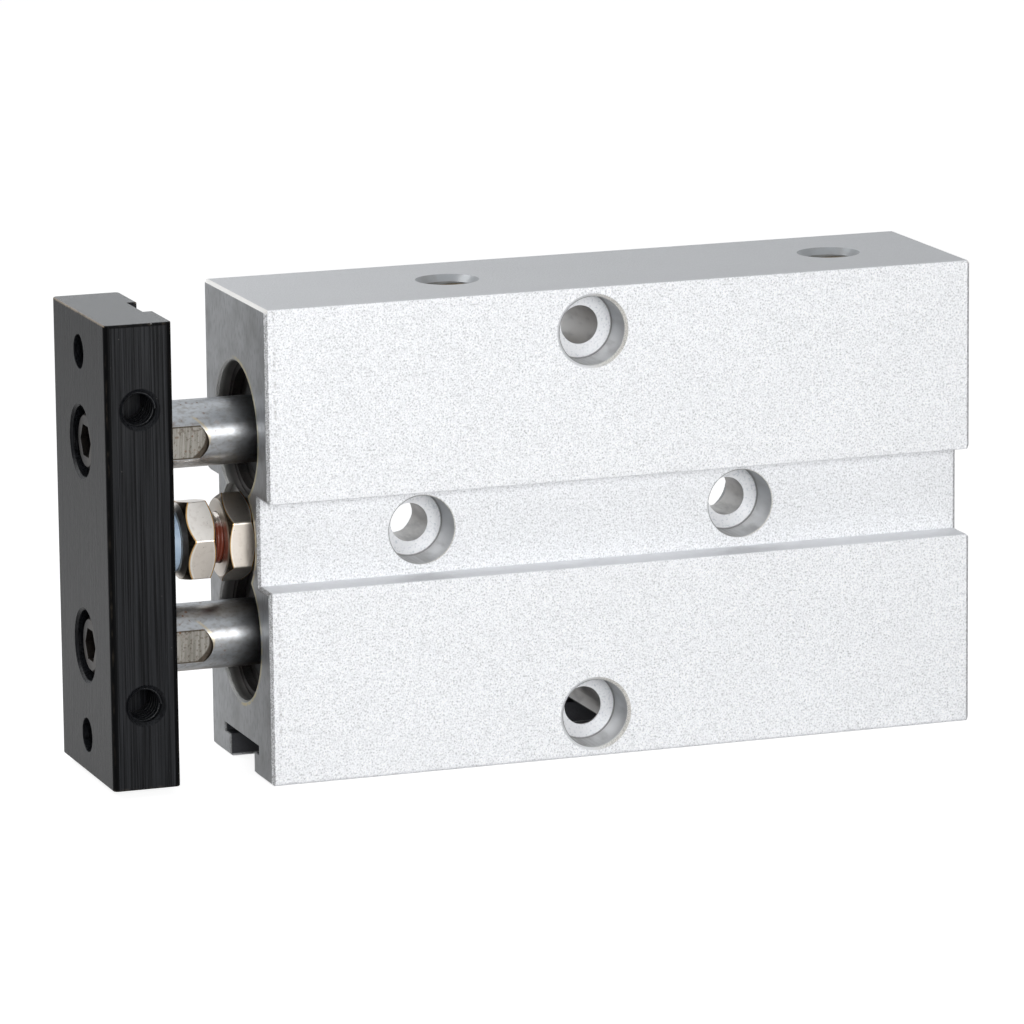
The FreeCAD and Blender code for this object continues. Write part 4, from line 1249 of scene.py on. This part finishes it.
def dress_sealed_parts() -> None:
    """Dresses the parts that are closed in inside the body."""
    rubber = PlainFinish("nitrile", (0.018, 0.018, 0.019), (0.030, 0.030, 0.031), 0.55, grain=0.15).build()
    urethane = PlainFinish("amber_urethane", (0.34, 0.20, 0.07), (0.26, 0.14, 0.05), 0.4, grain=0.4).build()
    resin = PlainFinish("slide_resin", (0.15, 0.10, 0.07), (0.20, 0.14, 0.09), 0.45, grain=0.3).build()
    zinc = PlainFinish("zinc_plating", (0.62, 0.60, 0.55), (0.52, 0.51, 0.49), 0.3, 0.95, grain=0.4).build()
    ferrite = PlainFinish(
        "magnet_ferrite", (0.055, 0.055, 0.058), (0.080, 0.080, 0.084), 0.5, 0.3, grain=0.2
    ).build()
    spacer = TurnedFinish("turned_spacer", Housing.line_heights[0], *TURNED_STEEL).build()
    for stem in ("rod_seal", "cover_o_ring", "rear_o_ring", "piston_seal"):
        dress(rubber, *both(stem))
    dress(urethane, *both("front_bumper"), *both("rear_bumper"))
    dress(resin, *both("wear_ring"))
    dress(zinc, *both("piston_nut"))
    dress(ferrite, "magnet_ring")
    dress(spacer, "spacer_ring")


# ------------------------------------------------------------------------------ studio

@dataclass(frozen=True)
class Lamp:
    """A soft square lamp: its place and aim in millimetres, its side in metres and its power in watts."""

    name: str
    place: tuple[float, float, float]
    aim: tuple[float, float, float]
    side: float
    watts: float

    def hang(self) -> None:
        """Makes the lamp."""
        light = bpy.data.lights.new(self.name, "AREA")
        light.shape = "SQUARE"
        light.size = self.side
        light.energy = self.watts
        lamp = bpy.data.objects.new(self.name, light)
        lamp.location = Vector(self.place) * MM
        lamp.rotation_euler = (Vector(self.aim) - Vector(self.place)).to_track_quat("-Z", "Y").to_euler()
        bpy.context.scene.collection.objects.link(lamp)


@dataclass
class Studio:
    """A pale floor, a white surround and soft lamps."""

    ambient: float = 0.22
    floor_glow: float = 0.872
    floor_gloss: float = 0.38
    floor_colour: float = 0.55
    floor_half: float = 2.2
    sky_tint: Colour = (0.95, 0.975, 1.0)

    def lamps(self) -> tuple[Lamp, ...]:
        """Returns the lamps."""
        middle = (5.0, 0.0, 25.0)
        return (
            Lamp("key_lamp", (-40.0, -620.0, 105.0), middle, 0.32, 3.15),
            Lamp("side_lamp", (-125.0, 60.0, 160.0), (-5.0, 0.0, 40.0), 0.14, 0.15),
        )

    def build(self) -> None:
        """Makes the world, the floor and the lamps, and sets the view transform."""
        self.make_world()
        self.lay_floor()
        for lamp in self.lamps():
            lamp.hang()
        bpy.context.scene.view_settings.view_transform = "Standard"
        LOG.info("studio: %d lamps", len(self.lamps()))

    def make_world(self) -> None:
        """Makes a world that is white to the eye and to polished metal, and dim for everything else."""
        world = bpy.data.worlds.new("surround")
        world.use_nodes = True
        writer = NodeWriter(world.node_tree)
        world.node_tree.nodes.clear()
        path = writer.add("ShaderNodeLightPath").outputs
        parts = writer.add("ShaderNodeSeparateXYZ")
        writer.feed(parts.inputs[0], writer.add("ShaderNodeTexCoord").outputs["Generated"])

        def ramp(axis: str, start: float, end: float, low: float, high: float) -> Socket:
            """Returns a level that goes from low to high along one axis of the sky."""
            node = writer.add("ShaderNodeMapRange")
            for label, value in (("From Min", start), ("From Max", end), ("To Min", low), ("To Max", high)):
                node.inputs[label].default_value = value
            writer.feed(node.inputs["Value"], parts.outputs[axis])
            return node.outputs["Result"]

        bright = writer.any_of(ramp("Y", -0.6, 0.3, 0.34, 0.80), ramp("Z", 0.35, 0.80, 0.0, 1.0))
        back_fill = writer.sum(
            "MULTIPLY_ADD", ramp("Y", 0.2, 0.9, 0.0, 0.8), ramp("Z", 0.10, 0.35, 1.0, 0.0), self.ambient
        )
        polished = writer.any_of(path["Is Glossy Ray"], path["Is Transmission Ray"])
        unseen = writer.mix(polished, back_fill, bright)
        background = writer.add("ShaderNodeBackground")
        writer.feed(background.inputs["Strength"], writer.mix(path["Is Camera Ray"], unseen, 1.0))
        tint = writer.dye(path["Is Camera Ray"], self.sky_tint, (1.0, 1.0, 1.0))
        writer.feed(background.inputs["Color"], tint)
        output = writer.add("ShaderNodeOutputWorld")
        writer.feed(output.inputs["Surface"], background.outputs[0])
        bpy.context.scene.world = world

    def lay_floor(self) -> None:
        """Lays a pale floor that looks white and still takes the cylinder's shadow."""
        sheet = NodeSheet("pale_floor")
        path = sheet.add("ShaderNodeLightPath").outputs
        seen = sheet.any_of(path["Is Camera Ray"], path["Is Transmission Ray"])
        shine = sheet.sum("MULTIPLY", path["Is Glossy Ray"], self.floor_gloss)
        glow_level = sheet.any_of(sheet.sum("MULTIPLY", seen, self.floor_glow), shine)
        matt = sheet.add("ShaderNodeBsdfDiffuse")
        matt.inputs["Color"].default_value = (self.floor_colour, self.floor_colour, self.floor_colour, 1.0)
        glow = sheet.add("ShaderNodeEmission")
        sheet.feed(glow.inputs["Strength"], glow_level)
        both_shaders = sheet.add("ShaderNodeAddShader")
        sheet.tree.links.new(matt.outputs[0], both_shaders.inputs[0])
        sheet.tree.links.new(glow.outputs[0], both_shaders.inputs[1])
        output = sheet.add("ShaderNodeOutputMaterial")
        sheet.tree.links.new(both_shaders.outputs[0], output.inputs["Surface"])
        mesh = bpy.data.meshes.new("floor")
        half = self.floor_half
        low = CAD_BOX[0][2] - FLOOR_GAP * MM
        corners = [(-half, -half, low), (half, -half, low), (half, half, low), (-half, half, low)]
        mesh.from_pydata(corners, [], [(0, 1, 2, 3)])
        mesh.materials.append(sheet.material)
        floor = bpy.data.objects.new("floor", mesh)
        bpy.context.scene.collection.objects.link(floor)


@dataclass
class Viewpoint:
    """The camera: its place and aim in millimetres, its angles in degrees."""

    aim: tuple[float, float, float] = (-0.45, 0.0, 22.68)
    distance: float = 659.6
    azimuth: float = -19.573
    elevation: float = 11.702
    roll: float = -0.61
    lens: float = 239.04

    def build(self) -> None:
        """Makes the camera and hands it to the scene."""
        turn, rise, roll = (math.radians(angle) for angle in (self.azimuth, self.elevation, self.roll))
        back = Vector((math.sin(turn) * math.cos(rise), -math.cos(turn) * math.cos(rise), math.sin(rise)))
        right = Vector((0.0, 0.0, 1.0)).cross(back).normalized()
        up = back.cross(right)
        across = math.cos(roll) * right + math.sin(roll) * up
        upright = math.cos(roll) * up - math.sin(roll) * right
        lens = bpy.data.cameras.new("camera")
        lens.lens = self.lens
        lens.sensor_width = 36.0
        lens.clip_start = 0.01
        camera = bpy.data.objects.new("camera", lens)
        pose = Matrix((across, upright, back)).transposed().to_4x4()
        pose.translation = (Vector(self.aim) + back * self.distance) * MM
        camera.matrix_world = pose
        bpy.context.scene.collection.objects.link(camera)
        bpy.context.scene.camera = camera
        LOG.info("camera: %.1f mm lens", self.lens)


def main() -> None:
    """Builds the cylinder, piece by piece, and the studio round it."""
    logging.basicConfig(level=logging.INFO, format="%(name)s: %(message)s")
    housing = Housing()
    housing.build()
    StopAssembly().build()
    EndPlate().build()
    for level, height in zip(("upper", "lower"), housing.line_heights):
        RodLine(level, height).build()
    dress_sealed_parts()
    Studio().build()
    Viewpoint().build()


if __name__ == "__main__":
    main()
